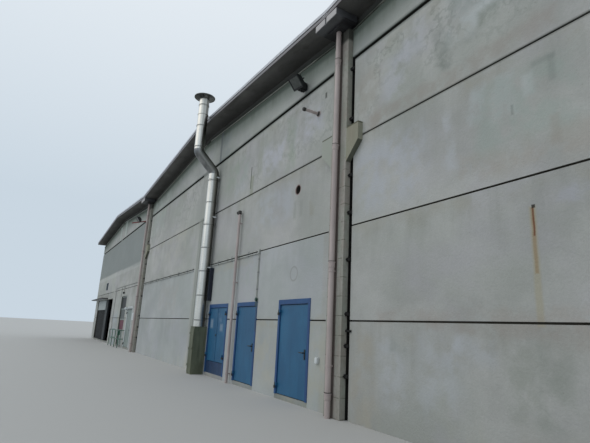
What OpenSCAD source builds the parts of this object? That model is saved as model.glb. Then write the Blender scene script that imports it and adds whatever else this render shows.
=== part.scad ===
// Precast concrete factory hall of three shallow gabled naves, with steel doors,
// downpipes and a stainless flue on its front.
// Sizes are the real building's, in millimetres, and the model is drawn at model_scale.
// X runs along the front, Y into the hall and Z up from the ground.

/* [Scale] */
// Model size over real size
model_scale = 0.5; // [0.1:0.05:1]

/* [Hall] */
// Width of one nave between its column lines
nave_span = 17900; // [16000:100:22000]
// Distance between two column rows along the hall
bay_length = 6000; // [5000:500:7500]
// Number of bays along the hall
bay_count = 6; // [3:1:8]
// Top of the roof at a valley, above the ground
valley_height = 8335; // [8000:5:9000]
// Top of the roof at a ridge, above the ground
ridge_height = 8970; // [8800:10:10500]
// Top of the floor above the ground
floor_level = 100; // [50:10:150]

/* [Wall panels] */
// Thickness of a wall panel
panel_t = 200; // [140:10:260]
// Height of the lowest panel row
base_row_h = 1720; // [1600:10:1760]
// Height of each panel row above the lowest
row_h = 1800; // [1750:10:1830]
// Height of the top full row
top_row_h = 1880; // [1800:10:1900]
// Width of the groove at a joint between two rows
joint_w = 30; // [16:2:40]
// Depth of that groove
joint_d = 45; // [20:5:80]
// Width of the wide groove under the gable panels
gable_joint_w = 90; // [60:5:120]
// Depth of the wide groove
gable_joint_d = 70; // [40:5:100]
// Gap between two panels of a side wall
side_gap = 20; // [10:2:30]

/* [Columns] */
// Width of a column at a valley
column_w = 500; // [300:20:600]
// How far it stands proud of the wall
column_proud = 115; // [80:5:200]
// How far it reaches behind the wall's outer face
column_back = 600; // [550:10:700]
// Open slot between a column and the panels on its right
slot_w = 100; // [60:5:140]
// Filled strip between a column and the panels on its left
mortar_w = 180; // [120:10:400]
// Overall width of a pair of corbels
corbel_w = 1260; // [1100:10:1400]
// Top of the corbels above the ground
corbel_top = 5590; // [5000:10:6000]
// Height of a corbel's end face
corbel_face_h = 380; // [200:10:450]
// Height of its sloping underside
corbel_slope_h = 370; // [250:10:500]
// Width of the post in the middle of a gable wall
post_w = 500; // [400:20:600]

/* [Roof] */
// Thickness of the roof slabs
slab_t = 180; // [140:10:240]
// How far the roof reaches past the gable walls
overhang = 550; // [400:10:800]
// How far it reaches past the side walls
side_overhang = 400; // [250:10:500]
// Gap between the slabs at a valley
gutter_w = 500; // [400:20:700]
// Sheet thickness of gutters and trims
sheet_t = 15; // [10:1:25]
// Depth of a roof beam at its ends
beam_end_h = 600; // [500:20:800]
// Width of a roof beam
beam_w = 250; // [200:10:300]
// Height of the shaded recess between a gable panel and the roof
gable_recess_h = 290; // [100:10:350]
// Depth of that recess
gable_recess_d = 60; // [40:5:90]

/* [Doors] */
// Top of the blue doors above the ground
blue_head = 2180; // [2100:10:2250]
// Left side of the first blue door's opening
door_1_x = 6550; // [6300:10:6600]
// Width of the first blue door's opening
door_1_w = 1390; // [1300:10:1500]
// Left side of the second blue door's opening
door_2_x = 4080; // [4060:5:4200]
// Width of the second blue door's opening
door_2_w = 1290; // [1200:10:1450]
// Left side of the double door's opening
door_3_x = 1830; // [1820:5:1900]
// Width of the double door's opening
door_3_w = 1550; // [1400:10:1600]
// Bottom of the double door's leaves above the ground
door_3_foot = 450; // [300:10:600]
// Face width of a door jamb
jamb_w = 80; // [60:5:100]
// Height of a door head
head_h = 110; // [80:5:140]
// Thickness of a door leaf
leaf_t = 50; // [40:5:60]
// Gap round a leaf
leaf_gap = 14; // [12:1:18]
// Gap beside a leaf's free edge
free_gap = 18; // [16:1:24]
// Gap between the two leaves of the double door
meeting_gap = 28; // [24:1:34]
// Radius of a hinge knuckle
knuckle_r = 14; // [12:1:18]
// Distance of the hinge axes in front of the wall
hinge_proud = 45; // [42:1:55]

/* [Far nave openings] */
// Top of the tall openings above the ground
tall_head = 3050; // [2800:10:3200]
// Left side of the goods opening, from the nave's middle
gate_x = -7600; // [-8000:50:-7000]
// Width of the closed part of the goods opening
gate_w = 5200; // [4500:50:5500]
// Top of its dark gate above the ground
gate_head = 2300; // [2100:10:2500]
// Left side of the tall glazed door, from the nave's middle
glazed_x = 3200; // [3000:50:3500]
// Width of the tall glazed door
glazed_w = 1750; // [1500:50:1800]
// Left side of the small door, from the nave's middle
small_x = 5700; // [5600:50:6200]
// Width of the small door's opening
small_w = 1550; // [1200:50:1600]
// Top of the small door's opening above the ground
small_head = 2300; // [2200:10:2400]
// How far the canopy over the goods opening reaches out
canopy_proud = 450; // [300:10:600]

/* [Rainwater] */
// Diameter of a downpipe
downpipe_d = 110; // [100:5:160]
// Distance of its axis in front of the wall
downpipe_proud = 200; // [190:5:320]
// Width of an outlet box
outlet_w = 780; // [700:20:1000]
// Height of an outlet box
outlet_box_h = 185; // [150:5:250]
// Width of the hopper under it
hopper_w = 470; // [400:10:480]
// Height of that hopper
hopper_h = 60; // [40:5:200]

/* [Flue] */
// Diameter of the flue
flue_d = 350; // [300:10:400]
// Place of the flue along the front
flue_x = 1550; // [1400:10:1580]
// Distance of its lower run's axis in front of the wall
flue_proud = 220; // [215:5:260]
// Distance of its upper run's axis in front of the wall
flue_out = 840; // [820:10:1000]
// Top of the cabinet under the flue
cabinet_h = 1460; // [1300:10:1600]
// Bottom of the offset
flue_offset_z = 6700; // [6300:50:6900]
// Height of the flue's top above the ridge
flue_rise = 430; // [350:10:600]
// Diameter of its rain hat
hat_d = 740; // [600:20:900]
// Distance between two band pairs
band_pitch = 797; // [700:1:1000]

/* [Hidden] */

$fn = 32;
naves = 3;
half_span = nave_span / 2;
half_width = naves * half_span;
depth = bay_count * bay_length;
roof_slope = (ridge_height - valley_height) / half_span;
gutter_rest = half_span - gutter_w / 2;
// Tops of the panel rows
row_z = [0, base_row_h, base_row_h + row_h, base_row_h + 2 * row_h, base_row_h + 2 * row_h + top_row_h];
// Front edge of the end beams and the depth that a column leaves for them
end_beam_y = column_back - beam_w - 75;
ledge_t = 30;
fit = 10;
// Bed of mortar or sealing tape between two pieces that lie on each other along a slope
bed = 0.5;

function nave_x(i) = (i - (naves - 1) / 2) * nave_span;
function valley_x(j) = (j - (naves - 2) / 2) * nave_span;
function roof_z(x) = ridge_height - roof_slope * x;
function outermost(i, side) = (i == 0 && side < 0) || (i == naves - 1 && side > 0);
function slope_end(i, side) = outermost(i, side) ? half_span + side_overhang : gutter_rest;
function beam_end(i, side) = half_span - fit - (outermost(i, side) ? panel_t : 0);
function beam_bottom() = roof_z(half_span) - slab_t - beam_end_h;
function beam_rows() = concat([end_beam_y], [for (k = [1:bay_count - 1]) k * bay_length - beam_w / 2],
                              [depth - end_beam_y - beam_w]);
function gable_top(x) = roof_z(x) - slab_t - gable_recess_h;
// Bottom of a valley gutter, where the beam under its side meets it, and the level of a downpipe's top
function gutter_z() = roof_z(half_span - gutter_w / 2 + fit) - slab_t;
function outlet_z() = gutter_z() - outlet_box_h - hopper_h;

// Two runs of panels in the front wall of a nave, on each side of its post
function run_left(i) = i == 0 ? -half_width : nave_x(i) - half_span + column_w / 2 + slot_w;
function run_right(i) = i == naves - 1 ? half_width : nave_x(i) + half_span - column_w / 2 - mortar_w;
function runs(i) = [[run_left(i), nave_x(i) - post_w / 2], [nave_x(i) + post_w / 2, run_right(i)]];

// Openings of each nave's front wall as [left side, right side, top], from left to right
far_x = nave_x(0);
openings = [
    [[far_x + gate_x, far_x - post_w / 2, tall_head],
     [far_x + glazed_x, far_x + glazed_x + glazed_w, tall_head],
     [far_x + small_x, far_x + small_x + small_w, small_head]],
    [[door_3_x, door_3_x + door_3_w, blue_head],
     [door_2_x, door_2_x + door_2_w, blue_head],
     [door_1_x, door_1_x + door_1_w, blue_head]],
    []];
// Height up to which the second row is cut beside the openings of each nave
pier_top = [tall_head, blue_head, 0];

function inside(run, o) = o[0] >= run[0] - 1 && o[1] <= run[1] + 1;
function solids_between(run, i) =
    let (cuts = [for (o = openings[i]) if (inside(run, o)) each [o[0], o[1]]],
         ends = concat([run[0]], cuts, [run[1]]))
    [for (k = [0:2:len(ends) - 2]) if (ends[k + 1] - ends[k] > 1) [ends[k], ends[k + 1]]];

// The model's frame has its origin at the middle of the plan
module in_frame() {
    scale(model_scale) translate([0, -depth / 2, 0]) children();
}

// The same at the front and, turned round, at the back
module both_gables() {
    children();
    translate([0, depth, 0]) rotate(180) children();
}

// Profile in Y and Z drawn out along X
module along_x(x0, x1) {
    translate([x0, 0, 0]) rotate([90, 0, 90]) linear_extrude(x1 - x0) children();
}

// Profile in X and Z drawn out along Y
module along_y(y0, y1) {
    translate([0, y1, 0]) rotate([90, 0, 0]) linear_extrude(y1 - y0) children();
}

module block(x0, x1, y0, y1, z0, z1) {
    translate([x0, y0, z0]) cube([x1 - x0, y1 - y0, z1 - z0]);
}

module post(x, y, r, z0, z1) {
    translate([x, y, z0]) cylinder(r = r, h = z1 - z0);
}

// A panel with half a groove along its lower and its upper outer edge
module panel(x0, x1, z0, z1, low_w = joint_w, low_d = joint_d, top_w = joint_w, top_d = joint_d) {
    along_x(x0, x1) polygon([[low_d, z0], [panel_t, z0], [panel_t, z1], [top_d, z1],
                             [top_d, z1 - top_w / 2], [0, z1 - top_w / 2],
                             [0, z0 + low_w / 2], [low_d, z0 + low_w / 2]]);
}

// A panel that stands on the ground
module ground_panel(x0, x1, z1) {
    along_x(x0, x1) polygon([[0, 0], [panel_t, 0], [panel_t, z1], [joint_d, z1],
                             [joint_d, z1 - joint_w / 2], [0, z1 - joint_w / 2]]);
}

// Part of one roof slope between two distances from the ridge and two depths below the roof's top
module slope_band(i, side, x0, x1, top, bottom, y0, y1) {
    translate([nave_x(i), 0, 0]) mirror([side < 0 ? 1 : 0, 0, 0]) along_y(y0, y1)
        polygon([[x0, roof_z(x0) - bottom], [x1, roof_z(x1) - bottom],
                 [x1, roof_z(x1) - top], [x0, roof_z(x0) - top]]);
}

// Ground slab with tongues in the doorways and notches round the columns of the end walls
module floor_slab() in_frame() color("gray") {
    difference() {
        union() {
            block(-half_width + panel_t, half_width - panel_t, panel_t, depth - panel_t, 0, floor_level);
            for (nave_openings = openings, o = nave_openings)
                block(o[0], o[1], 0, panel_t, 0, floor_level);
        }
        both_gables() {
            for (j = [0:naves - 2])
                translate([valley_x(j), 0, 0])
                    block(-column_w / 2, column_w / 2, 0, column_back, -1, floor_level + 1);
            for (i = [0:naves - 1])
                translate([nave_x(i), 0, 0])
                    block(-post_w / 2, post_w / 2, 0, column_back, -1, floor_level + 1);
        }
    }
}

// Column with a pair of corbels on the part that stands proud of the wall
module valley_columns() in_frame() color("silver") {
    both_gables() for (j = [0:naves - 2]) translate([valley_x(j), 0, 0]) {
        along_x(-column_w / 2, column_w / 2)
            polygon([[-column_proud, 0], [column_back, 0], [column_back, beam_bottom()],
                     [panel_t, beam_bottom()], [panel_t, outlet_z()], [-column_proud, outlet_z()]]);
        along_y(-column_proud, 0) {
            face_z = corbel_top - corbel_face_h;
            foot_z = face_z - corbel_slope_h;
            polygon([[-corbel_w / 2, corbel_top], [-corbel_w / 2, face_z], [-column_w / 2, foot_z],
                     [column_w / 2, foot_z], [corbel_w / 2, face_z], [corbel_w / 2, corbel_top]]);
        }
    }
}

module gable_posts() in_frame() color("lightgray") {
    recess_z = gable_top(post_w / 2);
    both_gables() for (i = [0:naves - 1]) translate([nave_x(i), 0, 0])
        along_x(-post_w / 2, post_w / 2)
            polygon([[0, 0], [column_back, 0], [column_back, beam_bottom()], [panel_t, beam_bottom()],
                     [panel_t, recess_z + gable_recess_h], [gable_recess_d, recess_z + gable_recess_h],
                     [gable_recess_d, recess_z], [0, recess_z]]);
}

module hall_columns() in_frame() color("lightgray") {
    column_d = 500;
    for (row = [1:bay_count - 1]) for (j = [0:naves - 2])
        translate([valley_x(j), row * bay_length, 0])
            block(-column_w / 2, column_w / 2, -column_d / 2, column_d / 2, floor_level, beam_bottom());
    for (row = [0:bay_count]) for (side = [-1, 1]) {
        y = row == 0 ? panel_t : row == bay_count ? depth - panel_t - column_w : row * bay_length - column_w / 2;
        x = side * (half_width - panel_t - column_w / 2);
        translate([x, y, 0]) block(-column_w / 2, column_w / 2, 0, column_w, floor_level, beam_bottom());
    }
}

module roof_beams() in_frame() color("darkgray") {
    for (y = beam_rows()) for (i = [0:naves - 1]) translate([nave_x(i), 0, 0]) {
        left = beam_end(i, -1);
        right = beam_end(i, 1);
        along_y(y, y + beam_w)
            polygon([[-left, beam_bottom()], [right, beam_bottom()], [right, roof_z(right) - slab_t - bed],
                     [0, roof_z(0) - slab_t - bed], [-left, roof_z(left) - slab_t - bed]]);
    }
}

module roof_slabs(side) {
    for (i = [0:naves - 1])
        slope_band(i, side, 0, slope_end(i, side), 0, slab_t, -overhang, depth + overhang);
}

module roof_slabs_left() in_frame() color("dimgray") roof_slabs(-1);

module roof_slabs_right() in_frame() color("dimgray") roof_slabs(1);

module ridge_caps() in_frame() color("darkgray") {
    cap_w = 220;
    for (i = [0:naves - 1]) translate([nave_x(i), 0, 0]) along_y(-overhang, depth + overhang)
        polygon([[-cap_w, roof_z(cap_w) + bed], [0, roof_z(0) + bed], [cap_w, roof_z(cap_w) + bed],
                 [cap_w, roof_z(cap_w) + sheet_t], [0, roof_z(0) + sheet_t],
                 [-cap_w, roof_z(cap_w) + sheet_t]]);
}

// Two parallel light strips along the edge of each slope
module roof_edge_trims() in_frame() color("gainsboro") {
    upper = [-25, 65];
    lower = [90, slab_t];
    split = 2;
    both_gables() for (i = [0:naves - 1]) for (side = [-1, 1]) for (strip = [upper, lower])
        slope_band(i, side, split, outermost(i, side) ? half_span + side_overhang : half_span - split,
                   strip[0], strip[1], -overhang - sheet_t, -overhang);
}

// Flashing on the top edge of the gable panels
module gable_ledges() in_frame() color("gainsboro") {
    proud = 30;
    recess = slab_t + gable_recess_h;
    both_gables() for (i = [0:naves - 1]) for (side = [-1, 1]) {
        end = outermost(i, side) ? half_span : half_span - column_w / 2 - fit;
        slope_band(i, side, post_w / 2, end, recess - ledge_t, recess, -proud, gable_recess_d);
    }
}

// Sheet gutter that lies on the beams between two naves
module valley_gutters() in_frame() color("silver") {
    half = gutter_w / 2 - fit;
    z = gutter_z();
    for (j = [0:naves - 2]) translate([valley_x(j), 0, 0]) along_y(-overhang, depth + overhang)
        polygon([[-half, z], [half, z], [half, roof_z(half_span)], [half - sheet_t, roof_z(half_span)],
                 [half - sheet_t, z + sheet_t], [sheet_t - half, z + sheet_t], [sheet_t - half, roof_z(half_span)],
                 [-half, roof_z(half_span)]]);
}

// Shallow box under the gutter's end, with two tabs on its front, a hopper and a neck through the wall
module outlet_boxes() in_frame() color("gray") {
    top_z = gutter_z();
    foot_w = hopper_w - 120;
    gap = 60;
    both_gables() for (j = [0:naves - 2]) translate([valley_x(j), 0, 0]) {
        block(-outlet_w / 2, outlet_w / 2, -overhang, 0, top_z - outlet_box_h, top_z);
        along_y(-330, 0) polygon([[-foot_w / 2, outlet_z()], [foot_w / 2, outlet_z()],
                                  [hopper_w / 2, top_z - outlet_box_h], [-hopper_w / 2, top_z - outlet_box_h]]);
        block(-column_w / 2, column_w / 2, 0, panel_t, outlet_z(), top_z);
        for (side = [-1, 1]) translate([side * (outlet_w + gap) / 4, -overhang, 0])
            block((gap - outlet_w) / 4, (outlet_w - gap) / 4, -sheet_t, 0, top_z - outlet_box_h + 15, top_z - 20);
    }
}

// A pipe with a clamp ring and a stand-off to the face behind it at each height
module clamped_pipe(x, proud, r, z0, z1, clamps, seat) {
    post(x, -proud, r, z0, z1);
    for (z = clamps) {
        post(x, -proud, r + 8, z - 20, z + 20);
        block(x - 15, x + 15, -proud, -seat, z - 15, z + 15);
    }
}

// How high a pipe rises while it bends out by 45 degrees, runs slanted and bends back
function neck_rise(bend_r, shift) = shift + 2 * bend_r * tan(22.5);

// That length of pipe from the origin up and towards -Y, its straight length slipped over both bends
module swan_neck(r, bend_r, shift) {
    sleeve = 3;
    slip = 4;
    run = (shift - 2 * bend_r * (1 - cos(45))) / sin(45);
    for (end = [0, 1]) translate([0, -end * shift, end * neck_rise(bend_r, shift)]) rotate([end * 180, 0, 0])
        translate([0, -bend_r, 0]) rotate([90, 0, 90]) rotate_extrude(angle = 45) translate([bend_r, 0]) circle(r);
    translate([0, bend_r * (cos(45) - 1), bend_r * sin(45)]) rotate([45, 0, 0]) translate([0, 0, -slip])
        cylinder(r = r + sleeve, h = run + 2 * slip);
}

module downpipes() in_frame() color("rosybrown") {
    both_gables() for (j = [0:naves - 2])
        clamped_pipe(valley_x(j), downpipe_proud, downpipe_d / 2, 0, outlet_z(), [900, 2650, 5270, 7240],
                     column_proud);
}

module eaves_gutters() in_frame() color("silver") {
    eaves_x = half_width + side_overhang;
    z = roof_z(half_span + side_overhang) - slab_t;
    gutter = 150;
    for (side = [-1, 1]) mirror([side < 0 ? 1 : 0, 0, 0]) translate([eaves_x, 0, 0])
        along_y(-overhang, depth + overhang)
            polygon([[0, z], [gutter, z], [gutter, z + gutter], [gutter - sheet_t, z + gutter],
                     [gutter - sheet_t, z + sheet_t], [sheet_t, z + sheet_t], [sheet_t, z + slab_t],
                     [0, z + slab_t]]);
}

// Pipes that leave the eaves gutters, bend back to the wall and run down it
module side_downpipes() in_frame() color("rosybrown") {
    r = downpipe_d / 2;
    drop_x = half_width + side_overhang + 75;
    wall_x = half_width + 100;
    top_z = roof_z(half_span + side_overhang) - slab_t;
    bend_r = 100;
    shift = drop_x - wall_x;
    neck_z = top_z - 150 - neck_rise(bend_r, shift);
    both_gables() for (row = [1, bay_count - 1]) translate([0, row * bay_length, 0]) {
        post(drop_x, 0, r, top_z - 150, top_z);
        translate([wall_x, 0, neck_z]) rotate(90) swan_neck(r, bend_r, shift);
        post(wall_x, 0, r, 0, neck_z);
        for (clamp_z = [1500, 4200, 6900]) block(half_width, wall_x, -15, 15, clamp_z - 20, clamp_z + 20);
    }
}

module front_base_row() in_frame() color("silver") {
    for (i = [0:naves - 1]) for (run = runs(i)) for (s = solids_between(run, i))
        ground_panel(s[0], s[1], row_z[1]);
}

// Second row beside the openings, up to their heads
module front_second_row_piers() in_frame() color("silver") {
    for (i = [0:naves - 1]) if (pier_top[i] > 0) for (run = runs(i)) for (s = solids_between(run, i))
        panel(s[0], s[1], row_z[1], pier_top[i], top_w = 0, top_d = 0);
}

// Wall over an opening that is lower than its neighbours
module front_lintels() in_frame() color("silver") {
    for (i = [0:naves - 1]) for (o = openings[i])
        if (o[2] < pier_top[i]) block(o[0], o[1], 0, panel_t, o[2], pier_top[i]);
}

module front_second_row() in_frame() color("silver") {
    for (i = [0:naves - 1]) for (run = runs(i))
        if (pier_top[i] > 0) panel(run[0], run[1], pier_top[i], row_z[2], low_w = 0, low_d = 0);
        else panel(run[0], run[1], row_z[1], row_z[2]);
}

// Third row, with a round vent hole through it
module front_third_row() in_frame() color("silver") {
    vent_d = 220;
    vent_x = 7160;
    vent_z = 4780;
    difference() {
        for (i = [0:naves - 1]) for (run = runs(i)) panel(run[0], run[1], row_z[2], row_z[3]);
        translate([vent_x, -1, vent_z]) rotate([-90, 0, 0]) cylinder(d = vent_d, h = panel_t + 2, $fn = 48);
    }
}

module front_fourth_row() in_frame() color("silver") {
    for (i = [0:naves - 1]) for (run = runs(i))
        panel(run[0], run[1], row_z[3], row_z[4], top_w = gable_joint_w, top_d = gable_joint_d);
}

// Panels with a sloping top, set back under the roof where the shaded recess is
module gable_panels() in_frame() color("silver") {
    z0 = row_z[4];
    recess = slab_t + gable_recess_h;
    both_gables() for (i = [0:naves - 1]) for (side = [-1, 1]) {
        x0 = post_w / 2;
        x1 = outermost(i, side) ? half_span : half_span - column_w / 2 - fit;
        foot = z0 + gable_joint_w / 2;
        top_0 = roof_z(x0) - slab_t - bed;
        top_1 = roof_z(x1) - slab_t - bed;
        translate([nave_x(i), 0, 0]) mirror([side < 0 ? 1 : 0, 0, 0]) {
            along_y(0, gable_recess_d)
                polygon([[x0, foot], [x1, foot], [x1, gable_top(x1)], [x0, gable_top(x0)]]);
            along_y(gable_recess_d, gable_joint_d)
                polygon([[x0, foot], [x1, foot], [x1, top_1], [x0, top_0]]);
            along_y(gable_joint_d, panel_t) polygon([[x0, z0], [x1, z0], [x1, top_1], [x0, top_0]]);
        }
    }
}

module mortar_strips() in_frame() color("lightgray") {
    for (i = [0:naves - 2]) block(run_right(i), run_right(i) + mortar_w, 0, panel_t, 0, row_z[4]);
}

// Full rows of the back wall, which has no openings
module back_rows(rows) {
    translate([0, depth, 0]) rotate(180) for (i = [0:naves - 1], row = rows) {
        left = nave_x(i) - (i == 0 ? half_span : half_span - column_w / 2);
        right = nave_x(i) + (i == naves - 1 ? half_span : half_span - column_w / 2);
        for (run = [[left, nave_x(i) - post_w / 2], [nave_x(i) + post_w / 2, right]])
            if (row == 0) ground_panel(run[0], run[1], row_z[1]);
            else panel(run[0], run[1], row_z[row], row_z[row + 1],
                       top_w = row == 3 ? gable_joint_w : joint_w, top_d = row == 3 ? gable_joint_d : joint_d);
    }
}

module back_wall_odd_rows() in_frame() color("silver") back_rows([0, 2]);

module back_wall_even_rows() in_frame() color("silver") back_rows([1, 3]);

// Rows of one panel a bay along both side walls
module side_rows(rows) {
    eaves_z = roof_z(half_span) - slab_t;
    heights = concat(row_z, [eaves_z]);
    for (wall = [[-half_width, depth, -90], [half_width, 0, 90]])
        translate([wall[0], wall[1], 0]) rotate(wall[2]) for (bay = [0:bay_count - 1], row = rows) {
            x0 = bay == 0 ? panel_t : bay * bay_length + side_gap / 2;
            x1 = bay == bay_count - 1 ? depth - panel_t : (bay + 1) * bay_length - side_gap / 2;
            if (row == 0) ground_panel(x0, x1, row_z[1]);
            else panel(x0, x1, heights[row], heights[row + 1],
                       top_w = row == 4 ? 0 : joint_w, top_d = row == 4 ? 0 : joint_d);
        }
}

module side_wall_odd_rows() in_frame() color("silver") side_rows([0, 2, 4]);

module side_wall_even_rows() in_frame() color("silver") side_rows([1, 3]);

// Frames of the hinged doors as [left side, right side, foot, top]
frames = [
    [door_1_x, door_1_x + door_1_w, floor_level, blue_head],
    [door_2_x, door_2_x + door_2_w, floor_level, blue_head],
    [door_3_x, door_3_x + door_3_w, floor_level, blue_head],
    [far_x + small_x, far_x + small_x + small_w, floor_level, small_head]];
frame_proud = 15;
frame_back = 120;
stop_y = leaf_t + 10 + 15;
stop_w = 25;

module door_jambs() in_frame() color("steelblue") {
    for (f = frames) for (side = [0, 1]) translate([f[side], 0, f[2]]) mirror([side, 0, 0])
        linear_extrude(f[3] - head_h - f[2])
            polygon([[0, -frame_proud], [jamb_w, -frame_proud], [jamb_w, stop_y], [jamb_w + stop_w, stop_y],
                     [jamb_w + stop_w, frame_back], [0, frame_back]]);
}

module door_heads() in_frame() color("steelblue") {
    for (f = frames) translate([0, 0, f[3]]) along_x(f[0], f[1])
        polygon([[-frame_proud, 0], [frame_back, 0], [frame_back, -head_h], [-frame_proud, -head_h]]);
}

// Knuckles on the frame as [hinge line, jamb side, leaf foot, leaf top]
hinge_lines = [
    [door_1_x + jamb_w, -1, floor_level, blue_head - head_h],
    [door_2_x + jamb_w, -1, floor_level, blue_head - head_h],
    [door_3_x + jamb_w, -1, door_3_foot, blue_head - head_h],
    [door_3_x + door_3_w - jamb_w, 1, door_3_foot, blue_head - head_h],
    [far_x + small_x + jamb_w, -1, floor_level, small_head - head_h]];
knuckle_h = 60;
knuckle_gap = 0.6;
knuckle_inset = 180;

module door_hinges() in_frame() color("dimgray") {
    for (h = hinge_lines) for (z = [h[2] + knuckle_inset, h[3] - knuckle_inset]) {
        post(h[0], -hinge_proud, knuckle_r, z - knuckle_h, z);
        translate([h[0], 0, 0]) mirror([h[1] < 0 ? 1 : 0, 0, 0]) {
            block(0, 50, -hinge_proud - 4, -hinge_proud + 4, z - knuckle_h, z);
            block(40, 50, -hinge_proud + 4, -frame_proud, z - knuckle_h, z);
        }
    }
}

// A leaf that starts at its hinge line and runs to the right
module leaf(w, z0, z1) {
    block(leaf_gap, w, 10, 10 + leaf_t, z0, z1);
    for (z = [z0 - leaf_gap + knuckle_inset, z1 + leaf_gap - knuckle_inset]) translate([0, 0, z + knuckle_gap]) {
        post(0, -hinge_proud, knuckle_r, 0, knuckle_h);
        block(0, 50, -hinge_proud - 4, -hinge_proud + 4, 0, knuckle_h);
        block(42, 50, -hinge_proud, 12, 0, knuckle_h);
    }
}

// Backplate and lever on the outer face, with the lever towards the hinges
module lever_handle(x, z) {
    block(x - 22, x + 22, 2, 10, z - 130, z + 60);
    translate([x, 10, z]) rotate([90, 0, 0]) cylinder(r = 11, h = 62);
    translate([x, -45, z]) rotate([0, -90, 0]) cylinder(r = 10, h = 140);
}

module single_leaf(x, w, z1) {
    leaf_w = w - 2 * jamb_w - free_gap;
    translate([x + jamb_w, 0, 0]) {
        leaf(leaf_w, floor_level + leaf_gap, z1 - head_h - leaf_gap);
        lever_handle(leaf_w - 75, 1050);
    }
}

module door_1() in_frame() color("steelblue") single_leaf(door_1_x, door_1_w, blue_head);

module door_2() in_frame() color("steelblue") single_leaf(door_2_x, door_2_w, blue_head);

module small_door() in_frame() color("gray") single_leaf(far_x + small_x, small_w, small_head);

module half_leaf() {
    leaf((door_3_w - 2 * jamb_w - meeting_gap) / 2, door_3_foot + leaf_gap, blue_head - head_h - leaf_gap);
}

module door_3_left() in_frame() color("steelblue") translate([door_3_x + jamb_w, 0, 0]) half_leaf();

module door_3_right() in_frame() color("steelblue")
    translate([door_3_x + door_3_w - jamb_w, 0, 0]) mirror([1, 0, 0]) half_leaf();

// Fixed panel under the double door
module door_3_panel() in_frame() color("midnightblue")
    block(door_3_x + jamb_w, door_3_x + door_3_w - jamb_w, 10, 60, floor_level, door_3_foot);

// Dark gate with a pale transom over it and a grey jamb plate beside it
module goods_gate() in_frame() color("darkslategray") {
    x0 = far_x + gate_x;
    x1 = x0 + gate_w;
    plate_w = 1000;
    block(x0, x1 - plate_w, 90, 150, floor_level, gate_head);
    block(x0, x1 - plate_w, 60, 150, gate_head + 2, tall_head);
    block(x1 - plate_w + 2, x1, 40, 150, floor_level, tall_head);
}

// Tall glazed door with a solid panel in its lower half
module glazed_door() in_frame() color("slategray") {
    x0 = far_x + glazed_x;
    bar = 70;
    rail_z = [floor_level, 950, 1600, tall_head - bar];
    for (x = [x0, x0 + glazed_w - bar]) block(x, x + bar, 60, 130, floor_level, tall_head);
    for (z = rail_z) block(x0 + bar, x0 + glazed_w - bar, 60, 130, z, z + bar);
    for (k = [0:2]) block(x0 + bar, x0 + glazed_w - bar, 85, 105, rail_z[k] + bar, rail_z[k + 1]);
}

module canopy() in_frame() color("slategray") {
    x0 = far_x + gate_x - 1000;
    block(x0, far_x + gate_x + gate_w - 200, -canopy_proud, 0, tall_head + 50, tall_head + 110);
}

// Tube rail with returns to the wall, which ends where the small door's leaf swings out
module guard_rail() in_frame() color("seagreen") {
    y = -300;
    pitch = 1100;
    posts = 4;
    r = 22;
    x0 = far_x + small_x + jamb_w - 160 - (posts - 1) * pitch;
    for (k = [0:posts - 1]) post(x0 + k * pitch, y, r, 0, 1000);
    for (z = [500, 1000]) {
        translate([x0 - r, y, z]) rotate([0, 90, 0]) cylinder(r = r, h = (posts - 1) * pitch + 2 * r);
        for (x = [x0, x0 + (posts - 1) * pitch]) translate([x, 0, z]) rotate([90, 0, 0]) cylinder(r = r - 4, h = -y);
    }
}

// Thin pipe with a tee at its top beside the second door, and a stub near the eaves
module wall_pipes() in_frame() color("rosybrown") {
    pipe_x = 3930;
    pipe_top = 4860;
    proud = 100;
    r = 40;
    clamped_pipe(pipe_x, proud, r, 0, pipe_top, [250, 2760, 4520], 0);
    translate([pipe_x, -proud, pipe_top]) sphere(r * 1.15);
    translate([pipe_x, -proud, pipe_top]) rotate([0, -90, 0]) cylinder(r = r * 0.9, h = 120);
    translate([7950, 0, 6440]) {
        rotate([90, 0, 0]) cylinder(r = 75, h = 15);
        rotate([90, 0, 0]) cylinder(r = 34, h = 400);
        translate([0, -400, 0]) sphere(40);
    }
}

// Two cable tubes along the second joint, in the stretches on each side of the flue, and their drop to a door
module conduit() in_frame() color("dimgray") {
    tube = 26;
    low = row_z[2] - 65;
    high = row_z[2] + 5;
    for (x = [[-8600, -300], [1850, 5330]]) for (z = [low, high]) block(x[0], x[1], -tube - 6, 0, z, z + tube);
    for (x = [5270, 5312]) block(x, x + 18, -24, 0, blue_head + 15, low + 5);
}

// Housing with its glass at the origin, tilted to face out and down, and fins on its back
module lamp(tilt) {
    w = 240;
    h = 110;
    rotate([tilt, 0, 0]) {
        along_x(-w, w) polygon([[0, -h], [60, -h], [130, -h + 50], [130, h - 50], [60, h], [0, h]]);
        for (k = [-4:4]) block(k * 50 - 6, k * 50 + 6, 120, 160, 50 - h, h - 50);
    }
}

// One lamp on an arm under the middle nave's roof, one on a falling bar beside the far column
module floodlights() in_frame() color("black") {
    translate([7320, 0, 0]) {
        translate([0, -360, 7515]) lamp(35);
        block(-20, 20, -270, 0, 7440, 7480);
        block(-60, 60, -30, 0, 7370, 7550);
    }
    bar_x = valley_x(0) - column_w / 2 - mortar_w / 2;
    translate([bar_x, 0, 7080]) rotate([17, 0, 0]) {
        block(-30, 30, -960, -10, -30, 30);
        translate([0, -620, 125]) lamp(20);
    }
    translate([bar_x, 0, 7080]) block(-60, 60, -50, 0, -70, 70);
}

module flue_cabinet() in_frame() color("slategray") {
    block(flue_x - 200, flue_x + 200, -420, -20, 0, cabinet_h);
    block(flue_x - 120, flue_x + 120, -20, 0, cabinet_h - 200, cabinet_h - 100);
}

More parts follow.
